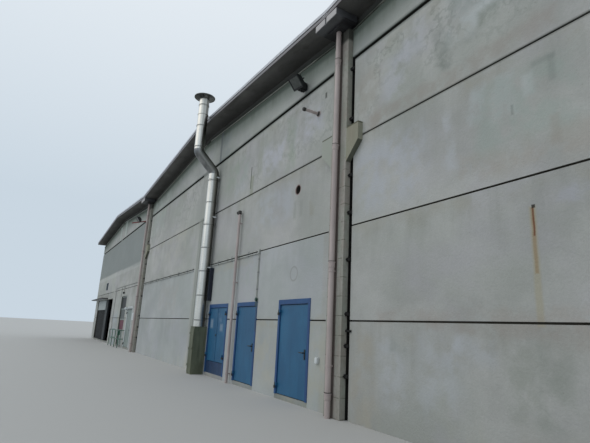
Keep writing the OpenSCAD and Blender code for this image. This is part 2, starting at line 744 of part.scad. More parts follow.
// Pairs of raised bands round a length of flue
module flue_length(proud, z0, z1, first_band) {
    translate([flue_x, -proud, 0]) {
        post(0, 0, flue_d / 2, z0, z1);
        for (z = [first_band:band_pitch:z1 - 60]) for (dz = [0, 45])
            post(0, 0, flue_d / 2 + 8, z + dz, z + dz + 15);
    }
}

first_band = cabinet_h + 180;

module flue_lower_run() in_frame() color("gainsboro") {
    flue_length(flue_proud, cabinet_h, flue_offset_z, first_band);
}

flue_bend_r = 200;

module flue_offset() in_frame() color("gainsboro")
    translate([flue_x, -flue_proud, flue_offset_z]) swan_neck(flue_d / 2, flue_bend_r, flue_out - flue_proud);

module flue_upper_run() in_frame() color("gainsboro") {
    z0 = flue_offset_z + neck_rise(flue_bend_r, flue_out - flue_proud);
    flue_length(flue_out, z0, ridge_height + flue_rise, z0 + 60);
}

// Cone on four straps over the flue's mouth
module flue_hat() in_frame() color("gainsboro") {
    strap = 90;
    cone_h = 110;
    edge = 12;
    translate([flue_x, -flue_out, ridge_height + flue_rise]) {
        for (a = [45:90:315]) rotate(a) block(flue_d / 2 - 25, flue_d / 2 - 5, -15, 15, 0, strap + 75);
        translate([0, 0, strap]) rotate_extrude($fn = 48)
            polygon([[0, cone_h - edge], [hat_d / 2 - edge, 0], [hat_d / 2, 0], [hat_d / 2, edge], [0, cone_h]]);
    }
}

// Ring round the flue with an arm to the face behind it
module bracket(proud, seat, z) {
    ring_h = 30;
    play = 1;
    translate([flue_x, -proud, z]) {
        difference() {
            cylinder(r = flue_d / 2 + 14, h = ring_h, $fn = 48);
            translate([0, 0, -1]) cylinder(r = flue_d / 2 + play, h = ring_h + 2, $fn = 48);
        }
        block(-20, 20, flue_d / 2 + 5, proud - seat, 0, ring_h);
    }
}

// Brackets on the wall, each just above a band pair, and one on the roof edge
module flue_brackets() in_frame() color("dimgray") {
    for (k = [2:2:6]) bracket(flue_proud, 0, first_band + k * band_pitch + 76);
    bracket(flue_out, overhang + sheet_t, roof_z(flue_x) - 60);
}

floor_slab();
valley_columns();
gable_posts();
hall_columns();
roof_beams();
roof_slabs_left();
roof_slabs_right();
ridge_caps();
roof_edge_trims();
gable_ledges();
valley_gutters();
outlet_boxes();
downpipes();
eaves_gutters();
side_downpipes();
front_base_row();
front_second_row_piers();
front_lintels();
front_second_row();
front_third_row();
front_fourth_row();
gable_panels();
mortar_strips();
back_wall_odd_rows();
back_wall_even_rows();
side_wall_odd_rows();
side_wall_even_rows();
door_jambs();
door_heads();
door_hinges();
door_1();
door_2();
door_3_left();
door_3_right();
door_3_panel();
small_door();
goods_gate();
glazed_door();
canopy();
guard_rail();
wall_pipes();
conduit();
floodlights();
flue_cabinet();
flue_lower_run();
flue_offset();
flue_upper_run();
flue_hat();
flue_brackets();
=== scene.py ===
# %% [markdown]
# Factory building in weathered precast concrete
#
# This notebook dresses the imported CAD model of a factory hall. The CAD already holds every true
# size, so nothing is moved here. We give each CAD node its real finish and add the small fittings,
# such as clips, lamps and pipe sockets, that a fitter screws on at the end.

# %% Load the fixed frame
import math

import bmesh
import bpy
from mathutils import Matrix, Vector


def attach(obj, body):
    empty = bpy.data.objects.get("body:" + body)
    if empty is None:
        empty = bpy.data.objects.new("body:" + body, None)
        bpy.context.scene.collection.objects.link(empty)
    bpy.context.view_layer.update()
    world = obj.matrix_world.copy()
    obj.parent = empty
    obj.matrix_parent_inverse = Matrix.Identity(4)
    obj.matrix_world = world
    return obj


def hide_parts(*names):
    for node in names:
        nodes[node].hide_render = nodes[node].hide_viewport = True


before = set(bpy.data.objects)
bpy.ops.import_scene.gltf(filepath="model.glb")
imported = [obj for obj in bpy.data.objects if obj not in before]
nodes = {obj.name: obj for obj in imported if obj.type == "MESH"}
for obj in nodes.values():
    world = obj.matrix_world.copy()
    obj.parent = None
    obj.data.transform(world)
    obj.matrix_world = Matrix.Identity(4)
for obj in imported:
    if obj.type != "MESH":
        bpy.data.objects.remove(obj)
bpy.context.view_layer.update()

# %% [markdown]
# Real sizes and model sizes
#
# The model is drawn at half size. It is easier to think in the real hall's metres, with X along
# the front, Y into the hall from the front wall and Z up. One matrix turns such a place into the
# model's own frame, whose origin is the middle of the plan. It turns single points and whole
# meshes alike. The other values are the hall's own: its naves, its roof and its rows of panels.

# %% From real metres to the model's frame
SCALE = 0.5
DEPTH = 36.0
NAVE = 17.9
HALF_NAVE = NAVE / 2
HALF_WIDTH = 26.85
RIDGE = 8.97
SLOPE = 0.07095
FIRST_JOINT = 1.72
ROW = 1.8
TO_MODEL = Matrix.Diagonal((SCALE, SCALE, SCALE, 1)) @ Matrix.Translation((0, -DEPTH / 2, 0))
print("front wall at y", (TO_MODEL @ Vector((0, 0, 0))).y)

# %% [markdown]
# The camera
#
# The photograph was taken low down, close to the right-hand valley column, looking up along the
# front. A pinhole camera was fitted to the joints, columns and pipes. We build its three axes from
# its turn, tilt and small roll, because a camera that looks along a wall is hard to aim by hand.

# %% Camera
YAW, PITCH, ROLL = (math.radians(a) for a in (29.89, 13.73, 3.009))
EYE = TO_MODEL @ Vector((16.019, -5.132, 1.491))
flat = math.cos(PITCH)
forward = Vector((-math.cos(YAW) * flat, math.sin(YAW) * flat, math.sin(PITCH)))
level_right = forward.cross(Vector((0, 0, 1))).normalized()
level_up = level_right.cross(forward)
right = level_right * math.cos(ROLL) + level_up * math.sin(ROLL)
up = level_up * math.cos(ROLL) - level_right * math.sin(ROLL)
camera = bpy.data.objects.new("camera", bpy.data.cameras.new("camera"))
camera.data.lens = 27.255
camera.data.sensor_width = 36
camera.data.clip_start = 0.05
camera.data.clip_end = 500
camera.matrix_world = Matrix.Translation(EYE) @ Matrix((right, up, -forward)).transposed().to_4x4()
bpy.context.scene.collection.objects.link(camera)
bpy.context.scene.camera = camera
print("camera at", tuple(round(v, 3) for v in camera.location))

# %% [markdown]
# Colours and nodes
#
# A material is a graph of nodes. One small helper adds a node with its settings and links, and
# gives back the output that the next node needs. A second helper turns the sRGB hex colours that
# people read into the linear ones that light obeys.

# %% Colours and nodes


def linear(code):
    """An sRGB hex colour as the linear colour that a socket takes."""
    parts = [int(code[i:i + 2], 16) / 255 for i in (1, 3, 5)]
    return tuple(v / 12.92 if v <= 0.04045 else ((v + 0.055) / 1.055) ** 2.4 for v in parts) + (1.0,)


def add(where, kind, inputs, out=0, **settings):
    """Adds a node to a tree, or to the tree of a socket, and gives back one of its outputs.

    "Math.ADD" is a Math node set to ADD. The inputs are a tuple in the node's order, or a dict.
    """
    kind, _, operation = kind.partition(".")
    made = where.id_data.nodes.new("ShaderNode" + kind)
    if operation:
        made.operation = operation
    for name, value in settings.items():
        setattr(made, name, value)
    for name, value in inputs.items() if isinstance(inputs, dict) else enumerate(inputs):
        if isinstance(value, bpy.types.NodeSocket):
            where.id_data.links.new(value, made.inputs[name])
        else:
            made.inputs[name].default_value = value
    return made.outputs[out]


print("mid grey is", round(linear("#808080")[0], 3), "in linear light")

# %% [markdown]
# A new material and its place
#
# Every pattern on this hall follows the building: rain runs down, joints come every 1.8 m, soot
# sits in the grooves. So each material starts from the point that is being shaded, in the real
# hall's metres. The CAD meshes and our own pieces all have their object at the origin, so the
# object coordinate is that point at half size.

# %% Start and finish a material


def new_material(name):
    """An empty material, and the shaded point in the real hall's metres."""
    material = bpy.data.materials.new(name)
    material.use_nodes = True
    material.node_tree.nodes.clear()
    point = add(material.node_tree, "TexCoord", (), "Object")
    scaled = (point, (1 / SCALE,) * 3, (0, DEPTH / 2, 0))
    return material, add(point, "VectorMath.MULTIPLY_ADD", scaled)


def finish(material, colour, rough, height=None, reach=0.004, **sockets):
    """Joins a colour, a roughness and a height in metres of relief to one shader and the output."""
    tree = material.node_tree
    inputs = {"Base Color": colour, "Roughness": rough}
    inputs.update({name.replace("_", " "): value for name, value in sockets.items()})
    if height is not None:
        relief = {"Strength": 0.5, "Distance": reach, "Height": height}
        inputs["Normal"] = add(tree, "Bump", relief, "Normal")
    shader = add(tree, "BsdfPrincipled", inputs)
    output = tree.nodes.new("ShaderNodeOutputMaterial")
    tree.links.new(shader, output.inputs["Surface"])
    print(material.name, len(tree.nodes), "nodes")
    return material


# %% [markdown]
# Masks
#
# Weather never covers a surface evenly, so most of a finish is masks: values from 0 to 1 that say
# where a colour lies. Three kinds are enough for a building. Blotches are random spots of a chosen
# width. A band lies between two levels, such as a height above the ground. A mark is a soft
# rectangle at one place on the front wall, whose edge wanders a little, as a real stain's does.

# %% Masks
SEED_STEP = (7.3, 3.1, 5.7)


def blotches(point, size, low, high, stretch=1, seed=0):
    """Random spots this wide in metres, from 0 at the low level of a noise to 1 at the high one.

    The stretch squeezes the pattern's height, or all three axes.
    """
    axes = stretch if isinstance(stretch, tuple) else (1, 1, stretch)
    place = (point, tuple(s / size for s in axes), tuple(seed * s for s in SEED_STEP))
    spread = add(point, "VectorMath.MULTIPLY_ADD", place)
    spots = add(point, "TexNoise", {"Vector": spread, "Scale": 1.0, "Detail": 5.0, "Roughness": 0.6})
    levels = {"Value": spots, "From Min": low, "From Max": high}
    return add(point, "MapRange", levels, interpolation_type="SMOOTHSTEP")


def band(value, rise, fall):
    """A mask that grows from 0 to 1 over the first pair of values and fades again over the second."""
    start = {"Value": value, "From Min": rise[0], "From Max": rise[1]}
    end = {"Value": value, "From Min": fall[1], "From Max": fall[0]}
    grows = add(value, "MapRange", start, interpolation_type="SMOOTHSTEP")
    fades = add(value, "MapRange", end, interpolation_type="SMOOTHSTEP")
    return add(value, "Math.MULTIPLY", (grows, fades))


def wander(point, size, reach):
    """The point moved about at random, so that a straight edge laid on it comes out rough."""
    spread = {"Vector": point, "Scale": 1 / size, "Detail": 6.0, "Roughness": 0.65}
    noise = add(point, "TexNoise", spread, "Color")
    centred = add(point, "VectorMath.SUBTRACT", (noise, (0.5, 0.5, 0.5)))
    return add(point, "VectorMath.MULTIPLY_ADD", (centred, (2 * reach,) * 3, point))


def mark(point, x, z, wide, high, soft):
    """A soft rectangle on the front wall, from its middle and its size."""
    off = add(point, "VectorMath.SUBTRACT", (point, (x, 0, z)))
    away = add(point, "VectorMath.ABSOLUTE", (off,))
    outside = add(point, "VectorMath.SUBTRACT", (away, (wide / 2, 1, high / 2)))
    across, inward, level = add(point, "SeparateXYZ", (outside,)).node.outputs
    flat = add(point, "Math.MAXIMUM", (across, level))
    far = add(point, "Math.MAXIMUM", (flat, inward))
    edge = {"Value": far, "From Min": soft, "From Max": 0.0}
    return add(point, "MapRange", edge, interpolation_type="SMOOTHSTEP")


def ring(point, x, z, radius, thick):
    """A soft ring on the front wall, from its middle, its radius and its thickness."""
    off = add(point, "VectorMath.SUBTRACT", (point, (x, 0, z)))
    far = add(point, "VectorMath.LENGTH", (off,), "Value")
    return band(far, (radius - thick, radius), (radius, radius + thick))


print("a new seed moves a pattern by", SEED_STEP, "spots")


# %% [markdown]
# Coats of colour
#
# A painter builds a weathered wall in thin coats, and so do we: a base, then one coat after
# another, each with a colour, a strength and the masks that hold it back. Local marks are coats
# too, so they come as a table of colour, strength, place, size and softness.

# %% Coats and marks
CRISP = 0.11


def coated(point, base, coats):
    """A base colour with coats laid over it, each held back by its strength and its masks."""
    colour = linear(base) if isinstance(base, str) else base
    for code, amount, *masks in coats:
        for mask in masks:
            amount = add(point, "Math.MULTIPLY", (amount, mask))
        laid = {0: amount, 6: colour, 7: linear(code)}
        colour = add(point, "Mix", laid, 2, data_type="RGBA")
    return colour


def marked(point, colour, marks):
    """A colour with local marks over it. A soft mark gets a rough edge and breaks up into spots."""
    rough = wander(point, 0.7, 0.25)
    crisp = wander(point, 0.25, 0.012)
    spots = blotches(point, 0.4, 0.36, 0.60, 1, 9)
    coats = []
    for code, strength, *place, soft in marks:
        if soft > CRISP:
            coats.append((code, strength, mark(rough, *place, soft), spots))
        else:
            coats.append((code, strength, mark(crisp, *place, soft)))
    return coated(point, colour, coats)


print("marks softer than", CRISP, "m break up into spots")


# %% [markdown]
# Where dirt and painted shade collect
#
# Three distances steer the dirt and the painted shade of the whole hall. Behind the wall's face lie
# the grooves, black with soot and moss, and the open slots, which are painted near black. Below the
# roof comes the damp band that rain never washes, darkened further by painted shade from the roof's
# overhang. Below each joint, water brings down fine dirt. All come from the place of the point, so
# they stay right on every panel, on all four sides. A fourth helper tells which way a surface looks.

# %% Distances on the building


def behind_face(point):
    """How far the point lies behind the nearest outer face of the walls."""
    x, y, _ = add(point, "SeparateXYZ", (point,)).node.outputs
    across = add(point, "Math.ABSOLUTE", (x,))
    from_side = add(point, "Math.SUBTRACT", (HALF_WIDTH, across))
    from_middle = add(point, "Math.SUBTRACT", (y, DEPTH / 2))
    along = add(point, "Math.ABSOLUTE", (from_middle,))
    from_end = add(point, "Math.SUBTRACT", (DEPTH / 2, along))
    return add(point, "Math.MINIMUM", (from_side, from_end))


def below_roof(point):
    """How far the point lies under the roof's top. A zigzag gives the distance to a ridge."""
    x, _, z = add(point, "SeparateXYZ", (point,)).node.outputs
    from_ridge = add(point, "Math.PINGPONG", (x, HALF_NAVE))
    roof = add(point, "Math.MULTIPLY_ADD", (from_ridge, -SLOPE, RIDGE))
    return add(point, "Math.SUBTRACT", (roof, z))


def below_joint(point):
    """How far the point lies under the next joint between two rows of panels."""
    down = add(point, "Math.SUBTRACT", (FIRST_JOINT, add(point, "SeparateXYZ", (point,), "Z")))
    return add(point, "Math.FLOORED_MODULO", (down, ROW))


def facing(point):
    """The three parts of the surface's own normal. The last is 1 where the surface looks up."""
    return add(point, "SeparateXYZ", (add(point, "NewGeometry", (), "Normal"),)).node.outputs


print("the roof falls", round(SLOPE * HALF_NAVE, 3), "m from a ridge to its valley")


# %% [markdown]
# Weathered precast concrete
#
# The wall panels are grey concrete, cast face down on steel and rained on for decades. Further off
# one sees clouds a metre or two wide where lime has washed out, soft pale runs, greenish and lilac
# tints, and a slightly different tone in each panel. In the top row algae draw dark veins: a vein
# lies where a noise crosses its middle value. The far nave has no veins, and its middle joint was
# filled, so two masks keep algae and soot away there, and its groove is painted pale against the
# groove's own shade. Under the roof's edge the wall is darkened with painted shade of the overhang
# and the ledge, mixed with damp. Air pores about 15 mm wide sit some 90 mm apart. Sand of 2 mm would
# vanish from here, so the grain is drawn 30 mm wide. Concrete is dull, so the roughness stays near
# 0.9.

# %% Concrete for walls
DULL = 0.9
GRAIN = 0.03
PORES_PER_METRE = 11.0


def precast_concrete(name, pale, dark, marks=(), rings=()):
    """Weathered precast concrete with local marks and rings, and painted shade under the roof's edge."""
    material, point = new_material(name)
    lime = blotches(point, 2.4, 0.34, 0.66, 1.3, 1)
    wash = blotches(point, 0.6, 0.48, 0.72, 0.22, 2)
    mottle = blotches(point, 0.55, 0.42, 0.74, 1.2, 3)
    green = blotches(point, 3.1, 0.40, 0.66, 1, 4)
    lilac = blotches(point, 1.7, 0.46, 0.68, 1.4, 5)
    grain = blotches(point, GRAIN, 0.25, 0.75, 1, 6)
    runs = blotches(point, 0.28, 0.42, 0.68, 0.12, 7)
    panels = (point, (1 / HALF_NAVE, 1 / 6, 1 / ROW), (0.002, 0.05, 0.045))
    grid = add(point, "VectorMath.MULTIPLY_ADD", panels)
    tone = add(point, "TexWhiteNoise", {"Vector": add(point, "VectorMath.FLOOR", (grid,))})
    joint = below_joint(point)
    roof = below_roof(point)
    along, _, height = add(point, "SeparateXYZ", (point,)).node.outputs
    pore = add(point, "TexVoronoi", {"Vector": point, "Scale": PORES_PER_METRE}, "Distance")
    swirl = add(point, "TexNoise", {"Vector": point, "Scale": 1.7, "Detail": 7.0, "Roughness": 0.62})
    veins = band(swirl, (0.462, 0.498), (0.502, 0.538))
    top_row = band(height, (5.35, 5.8), (6.9, 7.1))
    far_nave = band(along, (-26.84, -26.80), (-9.3, -9.2))
    not_far = add(point, "Math.SUBTRACT", (1.0, far_nave))
    colour = coated(point, dark, [
        (pale, 0.85, lime),
        (pale, 0.35, wash),
        (dark, 0.45, mottle),
        ("#a6ada3", 0.40, green),
        ("#b5b2bb", 0.38, lilac),
        (dark, 0.22, tone),
        ("#8b9089", 0.18, grain),
        ("#a19e90", 0.45, band(joint, (-0.1, 0.0), (0.05, 0.5)), mottle),
        ("#7f827a", 0.20, band(joint, (-0.1, 0.02), (0.2, 1.3)), runs),
        ("#747b73", 0.42, veins, top_row, lime, not_far),
        ("#6f7066", 0.40, band(pore, (-0.1, 0.0), (0.06, 0.13)), mottle),
        ("#b0aa92", 0.35, band(height, (-2, -1), (0.1, 0.7)), wash),
        ("#59625c", 0.60, band(height, (7.09, 7.15), (7.25, 7.31))),
        ("#666963", 0.55, band(height, (5.275, 5.30), (5.34, 5.365)), not_far),
        # Painted shade under the roof's overhang and below the ledge, mixed with damp runs and dirt.
        ("#717a71", 0.80, band(roof, (0.3, 0.4), (0.60, 1.25))),
        ("#5b6355", 0.45, band(roof, (0.3, 0.4), (0.6, 1.0)), runs),
        ("#4d564c", 0.88, band(roof, (0.15, 0.4), (0.56, 0.70))),
    ])
    if marks:
        colour = marked(point, colour, marks)
    for code, strength, *place in rings:
        colour = coated(point, colour, [(code, strength, ring(point, *place))])
    groove = band(behind_face(point), (0.008, 0.030), (0.15, 0.19))
    filled = add(point, "Math.MULTIPLY", (far_nave, band(height, (5.0, 5.1), (5.5, 5.6))))
    sooty = add(point, "Math.SUBTRACT", (1.0, filled))
    colour = coated(point, colour, [
        # Painted shade with soot in the recess between the soffit and the ledge.
        ("#2a2a26", 0.80, band(roof, (0.12, 0.18), (0.41, 0.43))),
        ("#25241f", 0.90, groove, sooty, band(roof, (0.46, 0.50), (20, 21))),
        ("#4b473f", 0.80, groove, sooty, band(height, (-2, -1), (3.6, 5.2))),
        # Painted lightening: the filled groove is painted pale to cancel its own shade.
        ("#d9dbd8", 1.00, groove, filled),
    ])
    return finish(material, colour, DULL, grain, 0.002, Specular_IOR_Level=0.25)


print("panels of", HALF_NAVE, "by", ROW, "m")

# %% [markdown]
# Marks on the front wall
#
# Each row of the table is one mark: colour, strength, middle along the front and above the ground,
# width, height and softness. Nearly all are what decades have left. The lower rows have a rust run,
# an old filled hole and the warm tone of splashed earth. The upper rows have pale washed fields, a
# crack and damp under the vent hole. The gable panels have a dark run beside the flue and two pale
# ones, under a faint painted shade over their whole band below the roof.

# %% Tables of marks
LOWER_MARKS = [
    ("#b0bac0", 0.26, -0.30, 1.70, 17.2, 3.80, 0.10),
    ("#6a6864", 0.11, 18.05, 0.86, 17.6, 1.70, 0.05),
    ("#6a6864", 0.045, 18.05, 2.62, 17.6, 1.76, 0.05),
    ("#868c84", 0.45, 0.05, 1.75, 0.28, 3.60, 0.03),
    ("#50554e", 0.60, 0.20, 1.75, 0.04, 3.60, 0.02),
    ("#a39b80", 0.50, 12.91, 2.40, 0.045, 1.40, 0.045),
    ("#8f7347", 0.50, 12.91, 2.70, 0.016, 0.78, 0.030),
    ("#6b3c26", 0.80, 12.915, 2.93, 0.006, 0.34, 0.016),
    ("#2b2622", 0.90, 12.925, 3.12, 0.030, 0.03, 0.015),
    ("#b3b1a2", 0.50, 5.90, 0.85, 0.9, 0.7, 0.5),
    ("#b0ae9f", 0.50, 8.20, 0.85, 0.6, 0.8, 0.4),
    ("#9b9088", 0.32, 12.40, 1.80, 4.5, 0.08, 0.14),
    ("#948a82", 0.30, 12.80, 1.64, 3.2, 0.05, 0.13),
    ("#bdc3cd", 0.28, 10.40, 0.93, 0.30, 0.70, 0.35),
    ("#bcc2cc", 0.26, 11.34, 0.99, 0.45, 0.60, 0.40),
    ("#b7bdc6", 0.25, 11.91, 1.34, 0.50, 0.12, 0.20),
    ("#8a9088", 0.60, 13.02, 1.03, 0.16, 0.70, 0.22),
    ("#90958c", 0.55, 12.60, 1.01, 0.20, 0.60, 0.22),
    ("#8a8f88", 0.50, 10.56, 1.36, 0.18, 0.10, 0.16),
    ("#a49f92", 0.50, 9.67, 0.73, 0.30, 1.30, 0.30),
    ("#a8a598", 0.50, 7.00, 1.66, 4.0, 0.08, 0.14),
    ("#b2b1b7", 0.45, 4.70, 2.75, 1.0, 0.9, 0.4),
    ("#a9a79a", 0.45, 3.30, 3.35, 3.0, 0.12, 0.15),
    ("#41544a", 0.75, 5.33, 2.20, 0.06, 0.03, 0.08),
    ("#a5a49b", 0.45, 10.6, 3.45, 2.6, 0.06, 0.12),
    ("#adafba", 0.45, 13.45, 3.22, 0.35, 0.10, 0.12),
    ("#a5b3c0", 0.40, -16.15, 1.05, 1.5, 1.9, 0.25),
    ("#a9a7a2", 0.40, -3.5, 2.6, 2.4, 0.7, 0.5),
]
UPPER_MARKS = [
    ("#868c84", 0.45, 0.05, 2.75, 0.28, 5.30, 0.03),
    ("#50554e", 0.60, 0.20, 2.75, 0.04, 5.30, 0.02),
    ("#4c4e45", 0.80, 4.33, 5.86, 0.02, 0.66, 0.035),
    ("#868c76", 0.50, 4.42, 5.60, 0.10, 0.50, 0.11),
    ("#3d3f3b", 0.75, 8.23, 6.80, 0.03, 0.10, 0.04),
    ("#8c918a", 0.42, 7.05, 4.30, 0.03, 0.34, 0.09),
    ("#8c918a", 0.36, 7.34, 4.28, 0.03, 0.30, 0.09),
    ("#989789", 0.45, 7.85, 4.15, 0.14, 0.25, 0.12),
    ("#bcbec8", 0.60, 5.70, 6.05, 0.9, 0.35, 0.45),
    ("#bcbec8", 0.60, 7.50, 6.30, 0.8, 0.25, 0.40),
    ("#b5b9be", 0.50, 3.60, 6.00, 0.5, 0.4, 0.40),
    ("#98a396", 0.55, 3.20, 6.35, 1.2, 0.4, 0.45),
    ("#96a193", 0.50, 6.70, 6.15, 0.25, 1.2, 0.25),
    ("#9a9e92", 0.50, 4.90, 6.30, 0.12, 1.3, 0.14),
    ("#b9bbc3", 0.52, 10.45, 6.15, 0.35, 0.5, 0.35),
    ("#b9bbc3", 0.48, 10.95, 6.60, 0.30, 0.4, 0.30),
    ("#b9c0c1", 0.60, 12.30, 6.50, 0.7, 0.5, 0.40),
    ("#7c837c", 0.42, 11.62, 6.20, 0.14, 0.60, 0.20),
    ("#79807a", 0.50, 11.85, 5.85, 0.45, 0.10, 0.16),
    ("#757b6c", 0.55, 12.75, 6.15, 0.8, 0.10, 0.18),
    ("#7b8279", 0.45, 12.00, 6.75, 0.3, 0.30, 0.25),
    ("#9b958e", 0.55, 11.6, 5.52, 3.4, 0.10, 0.22),
    ("#9c978e", 0.45, 9.75, 5.9, 0.5, 1.0, 0.4),
    ("#b9bec4", 0.45, 11.70, 4.45, 0.05, 0.9, 0.12),
    ("#bac2c5", 0.40, 12.20, 4.85, 0.10, 0.4, 0.14),
    ("#b8bdbf", 0.40, 12.62, 4.75, 0.16, 0.5, 0.14),
    ("#bec6c6", 0.40, 12.98, 4.77, 0.06, 0.2, 0.10),
    ("#9ba8a1", 0.45, 12.9, 4.5, 1.1, 0.8, 0.30),
    ("#6f7670", 0.42, 12.74, 4.50, 0.008, 0.12, 0.028),
    ("#7e8580", 0.35, 13.30, 4.85, 0.03, 0.30, 0.06),
    ("#7e8580", 0.35, 13.20, 5.01, 0.25, 0.02, 0.06),
    ("#a29b92", 0.45, 12.9, 3.85, 1.8, 0.18, 0.25),
    ("#968d82", 0.30, 13.28, 4.02, 0.03, 0.30, 0.08),
    ("#b3b8c2", 0.50, 10.3, 4.35, 1.3, 0.8, 0.45),
    ("#b3b8be", 0.50, 5.9, 4.6, 1.6, 0.5, 0.45),
    ("#868d8c", 0.84, -18.1, 6.03, 17.4, 2.1, 0.10),
    ("#868d8c", 0.60, -12.75, 4.90, 6.30, 0.02, 0.09),
    ("#868d8c", 0.60, -11.00, 4.80, 2.90, 0.04, 0.09),
    ("#c6cac8", 0.26, -18.0, 4.74, 17.0, 0.16, 0.10),
    ("#b9b8ae", 0.35, -3.2, 4.9, 2.5, 0.8, 0.5),
    ("#a7b3ab", 0.45, -7.0, 6.6, 2.2, 0.6, 0.5),
]
GABLE_MARKS_AND_SHADE = [
    # Painted shade: the whole gable band under the roof's overhang, a little darker.
    ("#737d7a", 0.16, 0.00, 7.75, 54.0, 1.40, 0.10),
    ("#666a70", 0.60, 1.47, 7.80, 0.12, 1.20, 0.06),
    ("#8f979a", 0.40, 1.95, 7.60, 0.5, 0.8, 0.3),
    ("#a9b2ac", 0.50, -6.6, 7.55, 3.0, 0.3, 0.25),
    ("#b7c4bd", 0.45, -18.62, 7.80, 0.55, 0.90, 0.08),
    ("#7d8783", 0.36, -18.07, 7.80, 0.25, 0.90, 0.08),
    ("#b7c4bd", 0.45, -16.75, 8.01, 0.55, 1.10, 0.08),
    ("#7d8783", 0.36, -16.20, 8.01, 0.25, 1.10, 0.08),
]
LOWER_RINGS = [("#85867e", 0.50, 7.16, 2.76, 0.16, 0.035)]
UPPER_RINGS = [("#76443e", 0.75, 7.16, 4.78, 0.10, 0.05)]
print("marks", len(LOWER_MARKS) + len(UPPER_MARKS) + len(GABLE_MARKS_AND_SHADE))

# %% [markdown]
# Five casts of one concrete
#
# The same recipe serves the whole hall. Each row of panels gets the marks of its own height only,
# because a mark costs time on every panel that carries its nodes. The frame inside is darker.

# %% Cast the walls
PALE, DARK = "#c3c3c0", "#a2a3a0"
LOW_PALE, LOW_DARK = "#bfc0bd", "#9fa09d"
plain_concrete = precast_concrete("weathered precast concrete", PALE, DARK)
lower_concrete = precast_concrete("precast concrete of the lower rows", LOW_PALE, LOW_DARK,
                                  LOWER_MARKS, LOWER_RINGS)
upper_concrete = precast_concrete("precast concrete of the upper rows", PALE, DARK,
                                  UPPER_MARKS, UPPER_RINGS)
gable_concrete = precast_concrete("precast concrete of the gables", PALE, DARK, GABLE_MARKS_AND_SHADE)
inner_concrete = precast_concrete("concrete of the frame", "#8e918e", "#7b7d79")

# %% [markdown]
# Column concrete
#
# The columns were cast in timber forms, from a browner mix than the panels. Up to 4.9 m their faces
# show the board joints as faint level lines every 360 mm, and the corbels have moss on their flat
# tops, where the surface's own normal points up. The corbels' undersides are painted darker as
# painted shade, a dark strip behind the downpipe is painted shadow with damp, and the top of the
# column is painted dark under the outlet box, as painted shade with dirt. What lies behind the
# wall's face, in the open slot beside the column, is black.

# %% Column concrete
BOARD = 0.36


def column_concrete():
    """Board-marked concrete with mossy flat tops, black slots and painted shade under the corbels, behind
    the pipe and under the outlet box.
    """
    material, point = new_material("board-marked column concrete")
    clouds = blotches(point, 0.9, 0.36, 0.66, 0.5, 11)
    runs = blotches(point, 0.16, 0.42, 0.70, 0.08, 12)
    grain = blotches(point, GRAIN, 0.25, 0.75, 1, 13)
    green = blotches(point, 0.5, 0.44, 0.62, 0.6, 14)
    rosy = blotches(point, 0.3, 0.48, 0.66, 0.4, 15)
    mottle = blotches(point, 0.07, 0.46, 0.66, 0.8, 16)
    broken = blotches(point, 0.12, 0.40, 0.55, 1, 17)
    x, _, z = add(point, "SeparateXYZ", (wander(point, 0.2, 0.008),)).node.outputs
    board = add(point, "Math.FLOORED_MODULO", (z, BOARD))
    look = facing(point)
    moved = add(point, "Math.ADD", (x, NAVE))
    bay = add(point, "Math.FLOORED_MODULO", (moved, NAVE))
    aside = add(point, "Math.SUBTRACT", (bay, HALF_NAVE))
    out = add(point, "Math.ABSOLUTE", (aside,))
    corbel = band(out, (0.24, 0.27), (5, 6))
    foot = band(z, (-2, -1), (4.6, 4.9))
    colour = coated(point, "#a19f98", [
        ("#b1b1ab", 0.55, clouds),
        ("#8f9b8d", 0.45, green),
        ("#9f8b85", 0.40, rosy),
        ("#7e7a73", 0.40, runs),
        ("#86837b", 0.45, mottle),
        ("#5c5952", 0.75, band(board, (-0.1, 0.0), (0.008, 0.022)), broken, foot),
        ("#8a8873", 0.62, corbel),
        ("#a8aea7", 0.70, band(aside, (-9, -8), (-0.27, -0.24))),
        ("#4b4b3a", 0.75, band(z, (5.55, 5.57), (5.6, 5.7)), corbel),
        ("#4a4c30", 0.80, band(look[2], (0.5, 0.7), (2, 3)), corbel),
        # Painted shade on the corbels' undersides.
        ("#53564c", 0.80, band(look[2], (-2, -1.5), (-0.5, -0.3)), corbel),
        # Painted shadow of the downpipe on the near column's face, with damp dirt.
        ("#4a3834", 0.80, band(out, (-2, -1), (0.045, 0.07)), band(x, (0, 1), (30, 31))),
        # Painted shade with dirt: darker towards the outlet box at the column's top.
        ("#5d5650", 0.45, band(z, (6.6, 7.5), (9, 10)), clouds),
        ("#23251f", 0.80, band(z, (7.60, 7.70), (9, 10))),
        ("#6f6a60", 0.45, band(z, (-2, -1), (0.1, 0.7)), clouds),
        ("#0c0c0b", 0.97, band(behind_face(point), (0.002, 0.010), (0.3, 0.5))),
    ])
    return finish(material, colour, DULL, grain, 0.002, Specular_IOR_Level=0.25)


board_concrete = column_concrete()

# %% [markdown]
# Roof slabs
#
# Seen from below, the slabs are raw grey concrete in deep shade, brown with old damp. Towards the
# wall their undersides are painted darker, as painted shade with dirt, and their front faces, seen in
# the gap behind the trims, are painted near black as painted shade. On top lies bitumen felt, rolled
# out in strips a metre wide whose laps show as dark lines. Its slate grit is 1 mm wide and drawn
# 20 mm wide, or it would not show. One material can hold both, because the surface's normal tells
# the top from the underside.

# %% Roof slabs
FELT_STRIP = 1.0
GRIT = 0.02


